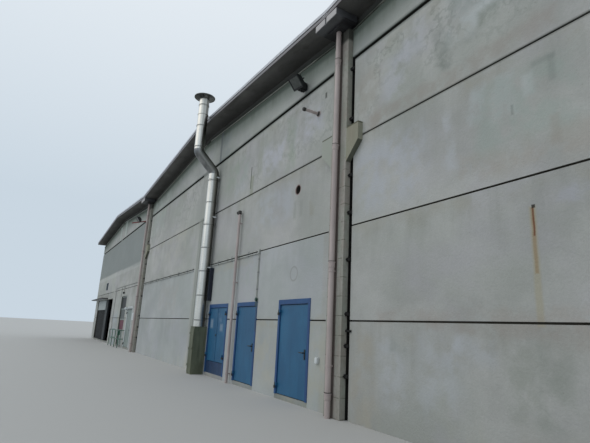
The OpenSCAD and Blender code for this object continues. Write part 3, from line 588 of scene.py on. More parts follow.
def slab_and_felt():
    """Raw concrete from below with painted shade towards the wall and on its front faces, and bitumen felt
    on top.
    """
    material, point = new_material("raw slab concrete and bitumen felt")
    clouds = blotches(point, 1.3, 0.38, 0.66, 1, 21)
    damp = blotches(point, 0.7, 0.46, 0.70, (1, 2.5, 1), 22)
    grit = blotches(point, GRIT, 0.3, 0.7, 1, 23)
    look = facing(point)
    top = band(look[2], (0.5, 0.6), (2, 3))
    along = add(point, "SeparateXYZ", (point,), "Y")
    lap = add(point, "Math.FLOORED_MODULO", (along, FELT_STRIP))
    colour = coated(point, "#646361", [
        ("#7e7d7b", 0.55, clouds),
        ("#4a4844", 0.55, damp),
        # Painted shade with dirt: the underside darker towards the wall.
        ("#3c3c3a", 0.65, band(along, (-0.50, -0.05), (35, 36))),
        # Painted shade: the front faces, seen in the gap behind the trims, near black.
        ("#1b1a1c", 0.90, band(look[1], (-2, -1.5), (-0.8, -0.6))),
        ("#55595a", 1.0, top),
        ("#6c7070", 0.6, top, clouds),
        ("#3f4340", 0.5, top, damp),
        ("#2c2e2f", 0.8, top, band(lap, (-0.1, 0.0), (0.015, 0.035))),
    ])
    return finish(material, colour, 0.92, grit, 0.004, Specular_IOR_Level=0.2)


slab_concrete = slab_and_felt()

# %% [markdown]
# Painted steel
#
# Doors, trims and rails are sheet steel with a coat of paint. Paint is a thin plastic film, so the
# shader stays a dielectric with a roughness near the middle. Years outdoors make it chalky in
# clouds and dirty in runs, and dirt is duller than paint. The coat's own ripple is 2 or 3 mm wide
# and drawn 15 mm wide, so that it shows. Each colour is one call with its paint, chalk and dirt.

# %% Painted steel
RIPPLE = 0.015


def painted(name, paint, chalk, dirt, rough=0.45, soil=0.4, spot=0.4, marks=(), under=None):
    """A coat of paint with chalky clouds, runs of dirt, local marks and another tone underneath."""
    material, point = new_material(name)
    clouds = blotches(point, spot, 0.36, 0.68, 0.6, 31)
    runs = blotches(point, 0.12, 0.46, 0.74, 0.08, 32)
    ripple = blotches(point, RIPPLE, 0.2, 0.8, 1, 33)
    colour = coated(point, paint, [(chalk, 0.8, clouds), (dirt, soil, runs)])
    if marks:
        colour = marked(point, colour, marks)
    if under:
        colour = coated(point, colour, [(under, 0.95, band(facing(point)[2], (-3, -2), (-0.8, -0.5)))])
    level = add(point, "Math.MULTIPLY_ADD", (runs, 0.25 * soil, rough))
    return finish(material, colour, level, ripple, 0.0015)


DOOR_MARKS_AND_SHADOWS = [
    ("#d3d8d9", 1.00, -11.43, 1.20, 1.80, 2.60, 0.02),
    ("#2b4038", 0.80, 5.30, 2.14, 0.07, 0.10, 0.07),
    ("#31404a", 0.50, 5.33, 1.75, 0.03, 0.60, 0.05),
    # Painted shadow under the white head of the small door's frame.
    ("#4b5250", 0.90, -11.43, 2.20, 1.46, 0.12, 0.02),
    ("#9aa9b8", 0.55, 2.12, 1.58, 0.10, 0.16, 0.10),
    ("#9aa9b8", 0.45, 2.95, 1.47, 0.12, 0.10, 0.10),
    ("#8fa3b7", 0.40, 2.80, 1.75, 0.14, 0.10, 0.12),
    ("#1c3f70", 0.45, 7.90, 1.10, 0.07, 2.20, 0.02),
    # Painted shadow lines under the heads of doors 1 and 2.
    ("#24344a", 0.30, 7.25, 2.065, 1.20, 0.02, 0.025),
    ("#24344a", 0.30, 4.73, 2.065, 1.10, 0.02, 0.025),
]
blue_paint = painted("blue frame paint", "#1a4779", "#225181", "#173658", 0.55, 0.25, 0.5, DOOR_MARKS_AND_SHADOWS)
blue_leaf = painted("blue leaf paint", "#19567c", "#226389", "#1a405a", 0.50, 0.15, 0.5, DOOR_MARKS_AND_SHADOWS)
duct_paint = painted("blue-black duct paint", "#131a28", "#1c2536", "#0d1018", 0.6, 0.4)
deep_blue = painted("dark blue paint", "#1e3758", "#26456b", "#15202f", 0.5, 0.5)
pipe_plastic = painted("weathered pipe plastic", "#aa9e9b", "#beb1ad", "#7f706b", 0.5, 0.45, 0.5)
dull_zinc = painted("dull galvanised sheet", "#6f7274", "#85898b", "#474a4a", 0.55, 0.4)
tube_grey = painted("grey cable tube", "#9b9e99", "#b4b6b1", "#55534c", 0.6, 0.6, 0.3)
grey_green = painted("grey-green door paint", "#7b8783", "#8d9894", "#565c55", 0.5, 0.45)
white_paint = painted("white frame paint", "#cdd2d3", "#dadedf", "#9b9e9a", 0.45, 0.4)
gate_paint = painted("dark gate paint", "#131719", "#1d2225", "#0c0d0d", 0.8, 0.4)
plate_paint = painted("dark plate paint", "#34393b", "#414649", "#222526", 0.8, 0.4)
transom_paint = painted("pale transom sheet", "#9ba3a2", "#aab1b0", "#6e736f", 0.5, 0.5)
plum_paint = painted("dark plum fascia paint", "#1e161c", "#291f27", "#120e11", 0.9, 0.5, under="#b3b7b8")
rail_green = painted("green rail paint", "#2f5c4a", "#3d6d59", "#1f3a2f", 0.45, 0.4)
louvre_paint = painted("grey louvre paint", "#3f4b54", "#4e5a63", "#272e33", 0.6, 0.4)
gland_green = painted("dark green gland paint", "#173a31", "#1f493d", "#0f241e", 0.6, 0.4)
red_oxide = painted("red oxide primer", "#8d4a49", "#9d5d5a", "#5a322f", 0.6, 0.4)
red_panel = painted("red panel paint", "#5f2838", "#6e3646", "#3d1c26", 0.6, 0.4)
dark_iron = painted("dark iron", "#2c2b29", "#393734", "#221c17", 0.6, 0.5)
black_enamel = painted("black lamp enamel", "#141618", "#1f2224", "#0b0b0b", 0.38, 0.3)
soot_iron = painted("sooty iron", "#0d0d0c", "#151413", "#080808", 0.8, 0.4)
cabinet_paint = painted("grey-green cabinet paint", "#575c49", "#6a6f5a", "#34382b", 0.6, 0.6)
print("painted finishes", len([m for m in bpy.data.materials if "paint" in m.name]))

# %% [markdown]
# Roof trims and ledges
#
# Two strips of coil-coated sheet run along each roof edge. The upper one catches the sky and stays
# pale; the lower one hangs in its shade and collects dirt, so it is painted darker as painted shade
# and dirt, and the gap between the strips is painted dark as painted shade. How far a point lies
# under the roof's top tells the strips apart. The ledge over the gable panels has the same sheet
# under years of green dirt, darker towards the valleys.

# %% Trims


def coil_coated_sheet():
    """Pale coil-coated sheet whose lower strips are painted darker with painted shade and dirt, with a
    painted dark gap between the strips.
    """
    material, point = new_material("pale coil-coated sheet")
    clouds = blotches(point, 0.8, 0.36, 0.66, 1, 41)
    runs = blotches(point, 0.10, 0.44, 0.72, 0.1, 42)
    roof = below_roof(point)
    from_ridge = add(point, "Math.PINGPONG", (add(point, "SeparateXYZ", (point,), "X"), HALF_NAVE))
    near_valley = band(from_ridge, (7.6, 7.95), (9, 10))
    ledge = band(roof, (0.40, 0.42), (1, 2))
    colour = coated(point, "#b6b8be", [
        ("#cbced6", 0.7, clouds),
        # Painted shade and dirt on the lower strip, and painted shade in the gap between the strips.
        ("#676569", 0.95, band(roof, (0.070, 0.085), (1, 2))),
        ("#2b292c", 0.85, band(roof, (0.050, 0.062), (0.095, 0.108))),
        ("#40363d", 0.85, band(roof, (0.155, 0.170), (0.2, 0.3))),
        ("#83867d", 0.92, ledge),
        ("#3c413a", 0.90, ledge, near_valley),
        ("#7b7671", 0.30, runs),
    ])
    return finish(material, colour, 0.45)


trim_sheet = coil_coated_sheet()

# %% [markdown]
# Galvanised outlet boxes
#
# The boxes under the valley gutters are folded zinc sheet. Their two front tabs are painted pale as
# a painted highlight, their undersides are dull, and towards the wall the sheet is painted darker,
# nearly black low down. So the coats follow the distance from the wall.

# %% Outlet boxes


def outlet_sheet():
    """Zinc sheet painted from pale tabs, a painted highlight, to near black at the wall."""
    material, point = new_material("outlet box sheet")
    clouds = blotches(point, 0.3, 0.38, 0.66, 1, 51)
    _, y, z = add(point, "SeparateXYZ", (wander(point, 0.15, 0.03),)).node.outputs
    tabs = add(point, "SeparateXYZ", (point,), "Y")
    colour = coated(point, "#515254", [
        ("#646568", 0.6, clouds),
        ("#35363a", 0.75, band(y, (-0.50, -0.10), (1, 2))),
        ("#19171a", 0.85, band(y, (-0.42, -0.30), (1, 2)), band(z, (6, 7), (8.0, 8.03))),
        # Painted highlight: the two front tabs are painted pale.
        ("#b7b4b4", 0.9, band(tabs, (-2, -1), (-0.556, -0.551))),
    ])
    return finish(material, colour, 0.6)


outlet_zinc = outlet_sheet()

# %% [markdown]
# Stainless steel
#
# The flue is rolled from bright stainless sheet. It is a metal, so its colour is its own
# reflection, and a fine brushing round the tube spreads that reflection. Its scratches are finer
# than 0.1 mm and drawn 7 mm wide and 100 mm long. The side that looks to the wall is painted dark,
# a painted reflection of the dark wall, and the sides are painted a little darker than the front.
# The slanting offset and the hat are tarnished brown by smoke, and the bands that close the seams
# are duller than the tube, and darker, partly as painted shade.

# %% Stainless steel
BRUSHING = 0.02


def stainless_steel(name, bright, tarnish, smoke):
    """Brushed stainless sheet with runs, smoke and a painted dark reflection on the sides towards the wall.
    """
    material, point = new_material(name)
    runs = blotches(point, 0.10, 0.46, 0.74, 0.06, 61)
    clouds = blotches(point, 0.35, 0.38, 0.68, 1, 62)
    brushing = blotches(point, BRUSHING, 0.2, 0.8, (0.2, 0.2, 3), 63)
    towards_wall = facing(point)[1]
    colour = coated(point, bright, [
        (tarnish, 0.45, runs),
        (tarnish, 0.9 * smoke, clouds),
        # Painted reflection: faces turned away from the front are painted darker, those towards the wall
        # darker still.
        ("#9a9a95", 0.70, band(towards_wall, (-0.42, -0.28), (2, 3))),
        ("#524f48", 0.76, band(towards_wall, (0.10, 0.38), (2, 3))),
    ])
    level = add(point, "Math.MULTIPLY_ADD", (brushing, 0.10, 0.24 + 0.15 * smoke))
    return finish(material, colour, level, brushing, 0.0006, Metallic=1.0)


stainless = stainless_steel("brushed stainless steel", "#e2e0d9", "#a8a7a2", 0.1)
smoked_stainless = stainless_steel("smoked stainless steel", "#939494", "#5c5e60", 0.7)
# The bands' darker steel is partly painted shade.
band_steel = stainless_steel("dull band steel", "#7e7f7d", "#57585a", 0.5)

# %% [markdown]
# Glass
#
# Lamp glasses and door panes show little but what they reflect. A dark dielectric with a low
# roughness does that, and it exports, where real transmission through a solid pane would not add
# anything to see.

# %% Glass


def dusty_glass(name, depth_colour, dust, rough):
    """Glass over a dark space, with dust in clouds."""
    material, point = new_material(name)
    clouds = blotches(point, 0.12, 0.35, 0.75, 1, 71)
    colour = coated(point, depth_colour, [(dust, 0.6, clouds)])
    return finish(material, colour, rough, Specular_IOR_Level=0.6)


lamp_glass = dusty_glass("dusty lamp glass", "#393d3b", "#5c605c", 0.28)
door_glass = dusty_glass("dark door glass", "#0a0d0e", "#14181a", 0.6)
pale_glass = dusty_glass("dusty door glass", "#4d5453", "#5d6462", 0.6)

# %% [markdown]
# Give each CAD node its finish
#
# A CAD node keeps its mesh and only changes its material. Listing the nodes under their finish
# shows at once which parts of the real hall share a trade.

# %% Finishes of the CAD nodes
FINISHES = {
    plain_concrete: ["back_wall_odd_rows", "back_wall_even_rows", "side_wall_odd_rows",
                     "side_wall_even_rows", "mortar_strips"],
    inner_concrete: ["floor_slab", "hall_columns", "roof_beams"],
    lower_concrete: ["front_base_row", "front_second_row_piers", "front_lintels", "front_second_row"],
    upper_concrete: ["front_third_row", "front_fourth_row", "gable_posts"],
    gable_concrete: ["gable_panels"],
    board_concrete: ["valley_columns"],
    slab_concrete: ["roof_slabs_left", "roof_slabs_right"],
    trim_sheet: ["roof_edge_trims", "gable_ledges"],
    dull_zinc: ["valley_gutters", "eaves_gutters", "ridge_caps"],
    outlet_zinc: ["outlet_boxes"],
    pipe_plastic: ["downpipes", "side_downpipes", "wall_pipes"],
    blue_paint: ["door_jambs", "door_heads"],
    blue_leaf: ["door_1", "door_2", "door_3_left", "door_3_right"],
    deep_blue: ["door_3_panel"],
    grey_green: ["small_door", "glazed_door"],
    gate_paint: ["goods_gate"],
    plum_paint: ["canopy"],
    rail_green: ["guard_rail"],
    dark_iron: ["door_hinges"],
    tube_grey: ["conduit"],
    black_enamel: ["floodlights"],
    cabinet_paint: ["flue_cabinet"],
    stainless: ["flue_lower_run", "flue_upper_run", "flue_brackets"],
    smoked_stainless: ["flue_offset", "flue_hat"],
}
for material, names in FINISHES.items():
    for name in names:
        nodes[name].data.materials.clear()
        nodes[name].data.materials.append(material)
print("nodes without a finish:", sorted(set(nodes) - {n for names in FINISHES.values() for n in names}))

# %% [markdown]
# Tools for small fittings
#
# Most fittings are bent sheet, cast blocks or turned parts. So two tools make their meshes: one
# adds a block with rounded edges, the other turns a profile round an axis, as a lathe does. A piece
# is then a list of such shapes, each with its tool and its sizes in the real hall's metres. The
# last function builds the list, scales the mesh into the model and lets it ride on its body.

# %% Tools for small fittings
UP, DOWN, OUT = (0, 0, 1), (0, 0, -1), (0, -1, 0)


def block(bm, low, high, bevel=0.004):
    """A block between two corners, with rounded edges."""
    middle = (Vector(low) + Vector(high)) / 2
    size = Vector(high) - Vector(low)
    shape = Matrix.Translation(middle) @ Matrix.Diagonal((*size, 1))
    corners = bmesh.ops.create_cube(bm, size=1.0, matrix=shape)["verts"]
    edges = list({edge for corner in corners for edge in corner.link_edges})
    bmesh.ops.bevel(bm, geom=edges, offset=min(bevel, min(size) * 0.4), segments=2, affect="EDGES")


def turned(bm, foot, axis, profile, sides=24):
    """A profile of radii and distances turned round an axis that starts at the foot."""
    along = Vector(axis).normalized()
    across = along.orthogonal().normalized()
    other = along.cross(across)
    rings = []
    for radius, distance in profile:
        turns = [2 * math.pi * k / sides for k in range(sides)]
        rings.append([bm.verts.new(Vector(foot) + along * distance
                                   + (across * math.cos(a) + other * math.sin(a)) * radius) for a in turns])
    for low, high in zip(rings, rings[1:]):
        for k in range(sides):
            n = (k + 1) % sides
            bm.faces.new((low[k], low[n], high[n], high[k]))
    bm.faces.new(rings[0][::-1])
    bm.faces.new(rings[-1])


def piece(name, material, shapes, body="building", place=Matrix()):
    """Makes an object from shapes in the real hall's metres and lets it ride on a body."""
    bm = bmesh.new()
    for tool, *sizes in shapes:
        tool(bm, *sizes)
    bmesh.ops.transform(bm, matrix=TO_MODEL @ place, verts=bm.verts)
    bmesh.ops.recalc_face_normals(bm, faces=bm.faces)
    mesh = bpy.data.meshes.new(name)
    bm.to_mesh(mesh)
    bm.free()
    mesh.materials.append(material)
    mesh.polygons.foreach_set("use_smooth", [True] * len(mesh.polygons))
    mesh.set_sharp_from_angle(angle=math.radians(35))
    made = bpy.data.objects.new(name, mesh)
    bpy.context.scene.collection.objects.link(made)
    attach(made, body)
    print(name, len(mesh.polygons), "faces")
    return made


# %% [markdown]
# Floodlights
#
# The CAD has each floodlight as a plain housing. The real one is a cast body with cooling fins, a
# black frame that holds a pane of glass, a box of control gear behind, and a bent yoke that lets it
# tilt. A plain box would do from afar, but fins and frame catch the light, so each is a block of
# its own. We build the lamp level, with its glass at the origin and facing the viewer, then tilt it
# and set it where the CAD has it.

# %% A floodlight
FINS = [0.035 * k for k in range(-4, 5)]


def floodlight(name, place):
    """Cast housing, framed glass and control gear, laid out round the middle of the glass."""
    rim = ((-0.18, 0.18, 0.13, 0.168), (-0.18, 0.18, -0.168, -0.12),
           (-0.18, -0.14, -0.16, 0.16), (0.145, 0.18, -0.16, 0.16))
    shapes = [(block, (x0, -0.012, z0), (x1, 0.03, z1), 0.006) for x0, x1, z0, z1 in rim]
    shapes.append((block, (-0.17, 0.015, -0.158), (0.17, 0.075, 0.158), 0.012))
    shapes.append((block, (-0.12, 0.07, -0.11), (0.12, 0.13, 0.11), 0.02))
    shapes += [(block, (x - 0.004, 0.06, -0.12), (x + 0.004, 0.145, 0.12), 0.002) for x in FINS]
    for side in (-1, 1):
        arm = side * 0.19
        knob = [(0.022, 0), (0.022, 0.02), (0.012, 0.028)]
        shapes.append((block, (arm - 0.005, 0.02, -0.015), (arm + 0.005, 0.15, 0.015), 0.003))
        shapes.append((turned, (side * 0.18, 0.04, 0), (side, 0, 0), knob, 12))
    shapes.append((block, (-0.195, 0.142, -0.015), (0.195, 0.152, 0.015), 0.003))
    piece(name, black_enamel, shapes, place=place)
    pane = (block, (-0.141, -0.004, -0.122), (0.146, 0.02, 0.131), 0.003)
    piece(name + "_glass", lamp_glass, [pane], place=place)


def tilt(degrees):
    """A turn about the level axis along the front, by which a lamp leans down."""
    return Matrix.Rotation(math.radians(degrees), 4, "X")


print("cooling fins", len(FINS))

# %% [markdown]
# The near floodlight
#
# It leans forward from a box of control gear on the wall, and lights the doors below it. Its turn
# and tilt were read from the corners of its pane in the photograph. The box of gear stands in for
# the CAD's plain housing.

# %% Near floodlight on its gear box
yaw = Matrix.Rotation(math.radians(9), 4, "Z")
floodlight("near_floodlight", Matrix.Translation((7.39, -0.36, 7.405)) @ yaw @ tilt(43))
near_gear = piece("near_floodlight_gear", black_enamel, [
    (block, (7.24, -0.235, 7.30), (7.40, -0.045, 7.52), 0.02),
    (block, (7.23, -0.05, 7.31), (7.41, -0.035, 7.51)),
    (block, (7.27, -0.04, 7.34), (7.37, 0.0, 7.48), 0.006),
    (turned, (7.32, -0.14, 7.305), DOWN, [(0.020, 0), (0.020, 0.03), (0.012, 0.05)], 12)])
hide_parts("floodlights")

# %% [markdown]
# The far floodlight
#
# It sits at the end of a steel angle that falls away from the far column. The angle is painted with
# red oxide and bolted to a foot plate. We lay bar and lamp out level and tilt them with one matrix,
# so they stay together whatever the tilt.

# %% Far floodlight on its falling bar
bar_place = Matrix.Translation((-9.29, 0, 7.08)) @ tilt(17)
floodlight("far_floodlight", bar_place @ Matrix.Translation((0, -0.62, 0.125)) @ tilt(20))
piece("far_floodlight_bar", red_oxide, [
    (block, (-0.03, -0.955, -0.03), (0.03, -0.01, -0.022), 0.002),
    (block, (-0.03, -0.955, -0.03), (-0.022, -0.01, 0.03), 0.002),
    (block, (-0.045, -0.66, -0.02), (0.045, -0.58, -0.008), 0.002)], place=bar_place)
bolt = [(0.012, 0), (0.012, 0.012), (0.008, 0.014)]
piece("far_floodlight_foot", red_oxide, [
    (block, (-9.35, -0.012, 7.01), (-9.23, 0.0, 7.15), 0.002),
    (turned, (-9.29, -0.012, 7.035), OUT, bolt, 6),
    (turned, (-9.29, -0.012, 7.125), OUT, bolt, 6)])

# %% [markdown]
# Cleats in the open slots
#
# The panels are held to the column by steel cleats that show as dark lumps in the slot. Each is a
# folded angle with a bolt through it. They come at uneven heights, as the fitters needed them, so
# one loop runs over both slots and a list of heights.

# %% Cleats
cleats = []
for x in (9.2, -8.7):
    for z in (6.95, 5.79, 4.56, 3.79, 2.86, 1.84, 1.27, 0.74):
        cleats += [(block, (x - 0.022, -0.04, z - 0.038), (x + 0.045, -0.006, z + 0.038), 0.006),
                   (block, (x, -0.036, z - 0.03), (x + 0.1, 0.03, z + 0.03), 0.006),
                   (turned, (x + 0.015, -0.04, z), OUT, [(0.017, 0), (0.017, 0.014), (0.011, 0.02)], 6)]
piece("slot_cleats", soot_iron, cleats)
nut = [(0.014, 0), (0.014, 0.01), (0.009, 0.014)]
piece("slot_strap", soot_iron, [
    (block, (9.14, -0.028, 1.515), (9.36, -0.004, 1.555)),
    (turned, (9.16, -0.028, 1.535), OUT, nut, 6),
    (turned, (9.34, -0.028, 1.535), OUT, nut, 6)])

# %% [markdown]
# Pipe sockets
#
# A plastic downpipe comes in lengths that push into each other. Each lower length ends in a wider
# socket with a rolled lip. Turning one profile round the pipe's axis gives lip, socket and taper in
# one go.

# %% Pipe sockets
SOCKET = [(0.055, 0.0), (0.060, 0.006), (0.064, 0.02), (0.064, 0.10), (0.070, 0.105), (0.070, 0.125),
          (0.066, 0.13), (0.055, 0.131)]
SEAL = [(0.060, 0), (0.072, 0.002), (0.072, 0.012), (0.060, 0.014)]
VALLEYS = (-HALF_NAVE, HALF_NAVE)
piece("pipe_sockets", pipe_plastic, [
    (turned, (x, y, z), UP, SOCKET)
    for x in VALLEYS for y in (-0.2, DEPTH + 0.2) for z in (0.30, 2.70, 5.14, 7.12)])
piece("pipe_socket_seals", dark_iron, [
    (turned, (x, -0.2, z), UP, SEAL) for x in VALLEYS for z in (0.425, 2.825, 5.265, 7.245)])

# %% [markdown]
# Ends of the wall pipes
#
# The short vent stub has a rose against the wall and a rubber cap at its free end. The tall pipe by
# the doors ends in an elbow. All are turned, so each is one profile.

# %% Caps on the wall pipes
STUB = (7.95, 6.44)
piece("wall_pipe_caps", dark_iron, [
    (turned, (STUB[0], 0, STUB[1]), OUT,
     [(0.064, 0), (0.064, 0.018), (0.05, 0.03), (0.042, 0.05), (0.036, 0.052)]),
    (turned, (STUB[0], -0.37, STUB[1]), OUT, [(0.035, 0), (0.045, 0.005), (0.045, 0.055), (0.036, 0.07)]),
    (turned, (3.93, -0.10, 4.79), UP, [(0.040, 0), (0.052, 0.005), (0.052, 0.09), (0.040, 0.115)]),
    (turned, (3.95, -0.10, 4.86), (-1, 0, 0),
     [(0.040, 0), (0.046, 0.02), (0.046, 0.11), (0.052, 0.115), (0.052, 0.15), (0.036, 0.155)])])

# %% [markdown]
# Cable work
#
# Two tubes follow the second joint and drop to the door in the middle. Saddles hold them to the
# wall about every 1.2 m: a low strap with a foot on each side. A small white box near the ground
# and a black duct beside the flue are what is left of older wiring. Blocks with soft edges are
# enough, because from the yard only their shadows are seen.

# %% Saddles, junction box and gland
saddles = []
for x in (-8.2, -7.0, -5.8, -4.6, -3.4, -2.2, -1.0, 2.3, 3.4, 4.6):
    saddles.append((block, (x - 0.012, -0.037, 3.44), (x + 0.012, -0.001, 3.565), 0.005))
    for z in (3.43, 3.575):
        saddles.append((block, (x - 0.012, -0.006, z - 0.016), (x + 0.012, -0.0005, z + 0.016), 0.002))
for z in (2.5, 2.95, 3.3):
    saddles.append((block, (5.255, -0.028, z - 0.01), (5.345, -0.001, z + 0.01)))
piece("cable_saddles", dull_zinc, saddles)
screw = [(0.006, 0), (0.006, 0.003), (0.003, 0.004)]
piece("cable_junction_box", tube_grey, [
    (block, (5.255, -0.040, 3.44), (5.345, -0.001, 3.56), 0.006),
    (block, (5.260, -0.047, 3.445), (5.340, -0.038, 3.555)),
    (turned, (5.30, -0.046, 3.455), OUT, screw, 10),
    (turned, (5.30, -0.046, 3.545), OUT, screw, 10)])
piece("cable_gland", gland_green, [
    (turned, (5.30, 0.0, 2.235), OUT, [(0.050, 0.001), (0.050, 0.03), (0.040, 0.042)], 20),
    (turned, (5.30, -0.02, 2.27), UP, [(0.016, 0), (0.016, 0.03)], 12)])
piece("white_switch_box", white_paint, [
    (block, (8.24, -0.05, 0.88), (8.34, -0.001, 1.0), 0.008),
    (block, (8.247, -0.058, 0.887), (8.333, -0.048, 0.993), 0.005)])
duct = [(block, (1.77, -0.12, 2.30), (1.89, -0.001, 3.38), 0.012)]
duct += [(block, (1.76, -0.126, z - 0.015), (1.90, -0.001, z + 0.015)) for z in (2.32, 2.84, 3.34)]
piece("black_wall_duct", duct_paint, duct)

# %% [markdown]
# Fittings of the flue
#
# Each seam of the flue is closed by a locking band, a narrow strap every 797 mm, whose darker steel,
# partly painted shade, reads as a dark ring. A ring turned round the tube's own axis keeps it true.
# Three bright toggle lugs hold the tube to its brackets, as specks on its dark side.

# %% Locking bands and lugs
FLUE_X = 1.55
BAND_PITCH = 0.797
STRAP = [(0.176, 0), (0.187, 0.002), (0.187, 0.028), (0.176, 0.03)]
seams = [(-0.22, 1.64 + BAND_PITCH * k) for k in range(7)]
seams += [(-0.84, z) for z in (7.546, 8.343, 9.14)]
piece("flue_locking_bands", band_steel,
      [(turned, (FLUE_X, y, z + 0.015), UP, STRAP, 48) for y, z in seams])
TOGGLE = [(0.009, 0), (0.012, 0.004), (0.012, 0.14), (0.007, 0.15)]
lugs = []
for z in (3.39, 5.13, 6.56):
    lugs += [(block, (1.725, -0.16, z - 0.022), (1.762, -0.07, z + 0.022), 0.006),
             (turned, (1.745, -0.19, z), (0, 1, 0), TOGGLE, 10)]
piece("flue_toggle_lugs", white_paint, lugs)

# %% [markdown]
# Door of the flue's cabinet
#
# The flue starts in a sheet-steel cabinet. It has one door with three hinge knuckles on the left, a
# louvred vent near the ground and a turning handle, under a lid that sheds the rain. The CAD's box
# stays, and thin blocks on it give the door its edge and the vent its slats.

# %% Door and lid of the cabinet
cabinet = [(block, (1.365, -0.432, 0.06), (1.735, -0.418, 1.40), 0.005),
           (block, (1.345, -0.43, 1.445), (1.755, -0.015, 1.466))]
for z in (0.25, 0.73, 1.21):
    cabinet.append((turned, (1.375, -0.436, z), UP, [(0.010, 0), (0.010, 0.07)], 10))
for k in range(6):
    cabinet.append((block, (1.43, -0.437, 0.20 + 0.035 * k), (1.67, -0.43, 0.215 + 0.035 * k), 0.002))
handle = [(0.022, 0), (0.022, 0.012), (0.010, 0.016), (0.010, 0.03)]
cabinet.append((turned, (1.69, -0.43, 0.78), OUT, handle, 16))
piece("flue_cabinet_door", cabinet_paint, cabinet)

# %% [markdown]
# Furniture of the doors
#
# Each blue leaf has a black backplate and lever near its free edge, and black covers over its
# hinges. The pieces ride on their own leaf, so they turn with it. The double door is held by a
# small hasp that rides on the left leaf only, short enough to stay clear of the right one, and the
# fixed panel below it is stiffened by four level ribs.

# %% Levers and backplates
LEVER_HEIGHT = 1.05
ROSE = [(0.020, 0), (0.020, 0.006), (0.013, 0.012), (0.012, 0.055)]
LEVER = [(0.010, 0), (0.0125, 0.01), (0.011, 0.12), (0.013, 0.15), (0.007, 0.157)]
HINGE_COVER = [(0.0145, 0), (0.0145, 0.056), (0.009, 0.062)]


def door_furniture(body, x, hinge_x, hinge_heights):
    """Backplate, lever and lock on a leaf, and the covers of its hinges."""
    z = LEVER_HEIGHT
    shapes = [(block, (x - 0.024, -0.002, z - 0.14), (x + 0.024, 0.0105, z + 0.07)),
              (turned, (x, 0.002, z), OUT, ROSE, 16),
              (turned, (x + 0.01, -0.048, z), (-1, 0, 0), LEVER, 16),
              (turned, (x, -0.002, z - 0.10), OUT, [(0.010, 0), (0.009, 0.006)], 12)]
    shapes += [(turned, (hinge_x, -0.045, height + 0.002), UP, HINGE_COVER, 12) for height in hinge_heights]
    piece(body + "_furniture", black_enamel, shapes, body=body)


door_furniture("door_1", 7.767, 6.63, (0.2806, 1.8906))
door_furniture("door_2", 5.197, 4.16, (0.2806, 1.8906))
door_furniture("small_door", -10.823, -12.12, (0.2806, 2.0106))
piece("door_3_left_hasp", dark_iron, [
    (block, (2.53, 0.0, 1.20), (2.575, 0.0105, 1.27), 0.002),
    (turned, (2.552, 0.004, 1.235), OUT, [(0.013, 0), (0.013, 0.008), (0.006, 0.016)], 12)],
      body="door_3_left")
piece("door_3_panel_ribs", deep_blue, [
    (block, (1.93, 0.004, z - 0.012), (3.28, 0.0105, z + 0.012), 0.003) for z in (0.16, 0.24, 0.32, 0.40)])

# %% [markdown]
# Doors of the far nave
#
# Its openings are small in the picture, but they tell the story of the yard: a red panel and dark
# panes in the tall glazed door, a pale sheet over the dark gate and a plate of three sheets beside
# it. A pane is a thin block behind four glazing beads, which throw the true thin shadow round it.

# %% The tall glazed door
PANE_LEFT, PANE_RIGHT, BEAD = -14.63, -13.02, 0.018


def pane(z0, z1, bevel=0.002):
    """A pane of the tall door with its four glazing beads."""
    x0, x1 = PANE_LEFT, PANE_RIGHT
    beads = ((x0, x1, z0, z0 + BEAD), (x0, x1, z1 - BEAD, z1),
             (x0, x0 + BEAD, z0, z1), (x1 - BEAD, x1, z0, z1))
    return [(block, (x0, 0.078, z0), (x1, 0.086, z1), bevel)] + [
        (block, (a, 0.070, c), (b, 0.0795, d), 0.003) for a, b, c, d in beads]


piece("glazed_door_upper_pane", door_glass, pane(2.29, 2.98))
piece("glazed_door_middle_pane", pale_glass, pane(1.67, 2.25))
piece("glazed_door_red_panel", red_panel, pane(1.02, 1.60, 0.003))
pull = [(0.012, 0), (0.012, 0.05), (0.02, 0.055), (0.02, 0.07)]
piece("glazed_door_bars", grey_green, [
    (block, (PANE_LEFT, 0.062, 2.24), (PANE_RIGHT, 0.09, 2.30)),
    (block, (-13.86, 0.062, 0.17), (-13.80, 0.09, 0.95)),
    (turned, (-14.60, 0.06, 1.28), OUT, pull, 12)])

# %% [markdown]
# The goods gate
#
# The closed leaf is a dark sheet with upright ribs. Above it hangs a transom of pale sheets, and
# the side plate is screwed on in three sheets. Ribs and sheets are blocks and not relief in the
# paint, because the wall is seen at a slant and a rib then hides what is behind it.

# %% The goods gate
transom = [-25.48 + 0.6 * k for k in range(7)]
piece("goods_gate_transom", transom_paint,
      [(block, (x, 0.046, 2.32), (x + 0.585, 0.061, 3.04), 0.006) for x in transom])
plate = []
for z0, z1 in ((0.11, 1.05), (1.07, 2.03), (2.05, 3.04)):
    plate.append((block, (-21.29, 0.026, z0), (-20.31, 0.041, z1), 0.006))
    for x in (-21.25, -20.80, -20.35):
        plate.append((turned, (x, 0.026, z1 - 0.05), OUT, [(0.009, 0), (0.009, 0.004), (0.005, 0.007)], 10))
piece("goods_gate_side_plate", plate_paint, plate)
ribs = [-25.42 + 0.38 * k for k in range(11)]
piece("goods_gate_ribs", gate_paint,
      [(block, (x, 0.078, 0.12), (x + 0.04, 0.091, 2.28)) for x in ribs])

# %% [markdown]
# Small things on the far wall
#
# A white frame lines the small door, with a lamp at its corner. A meter box, another lamp and thin
# cable tubes make the wall look used. Each is a block or a turned shade, set on the wall's face.

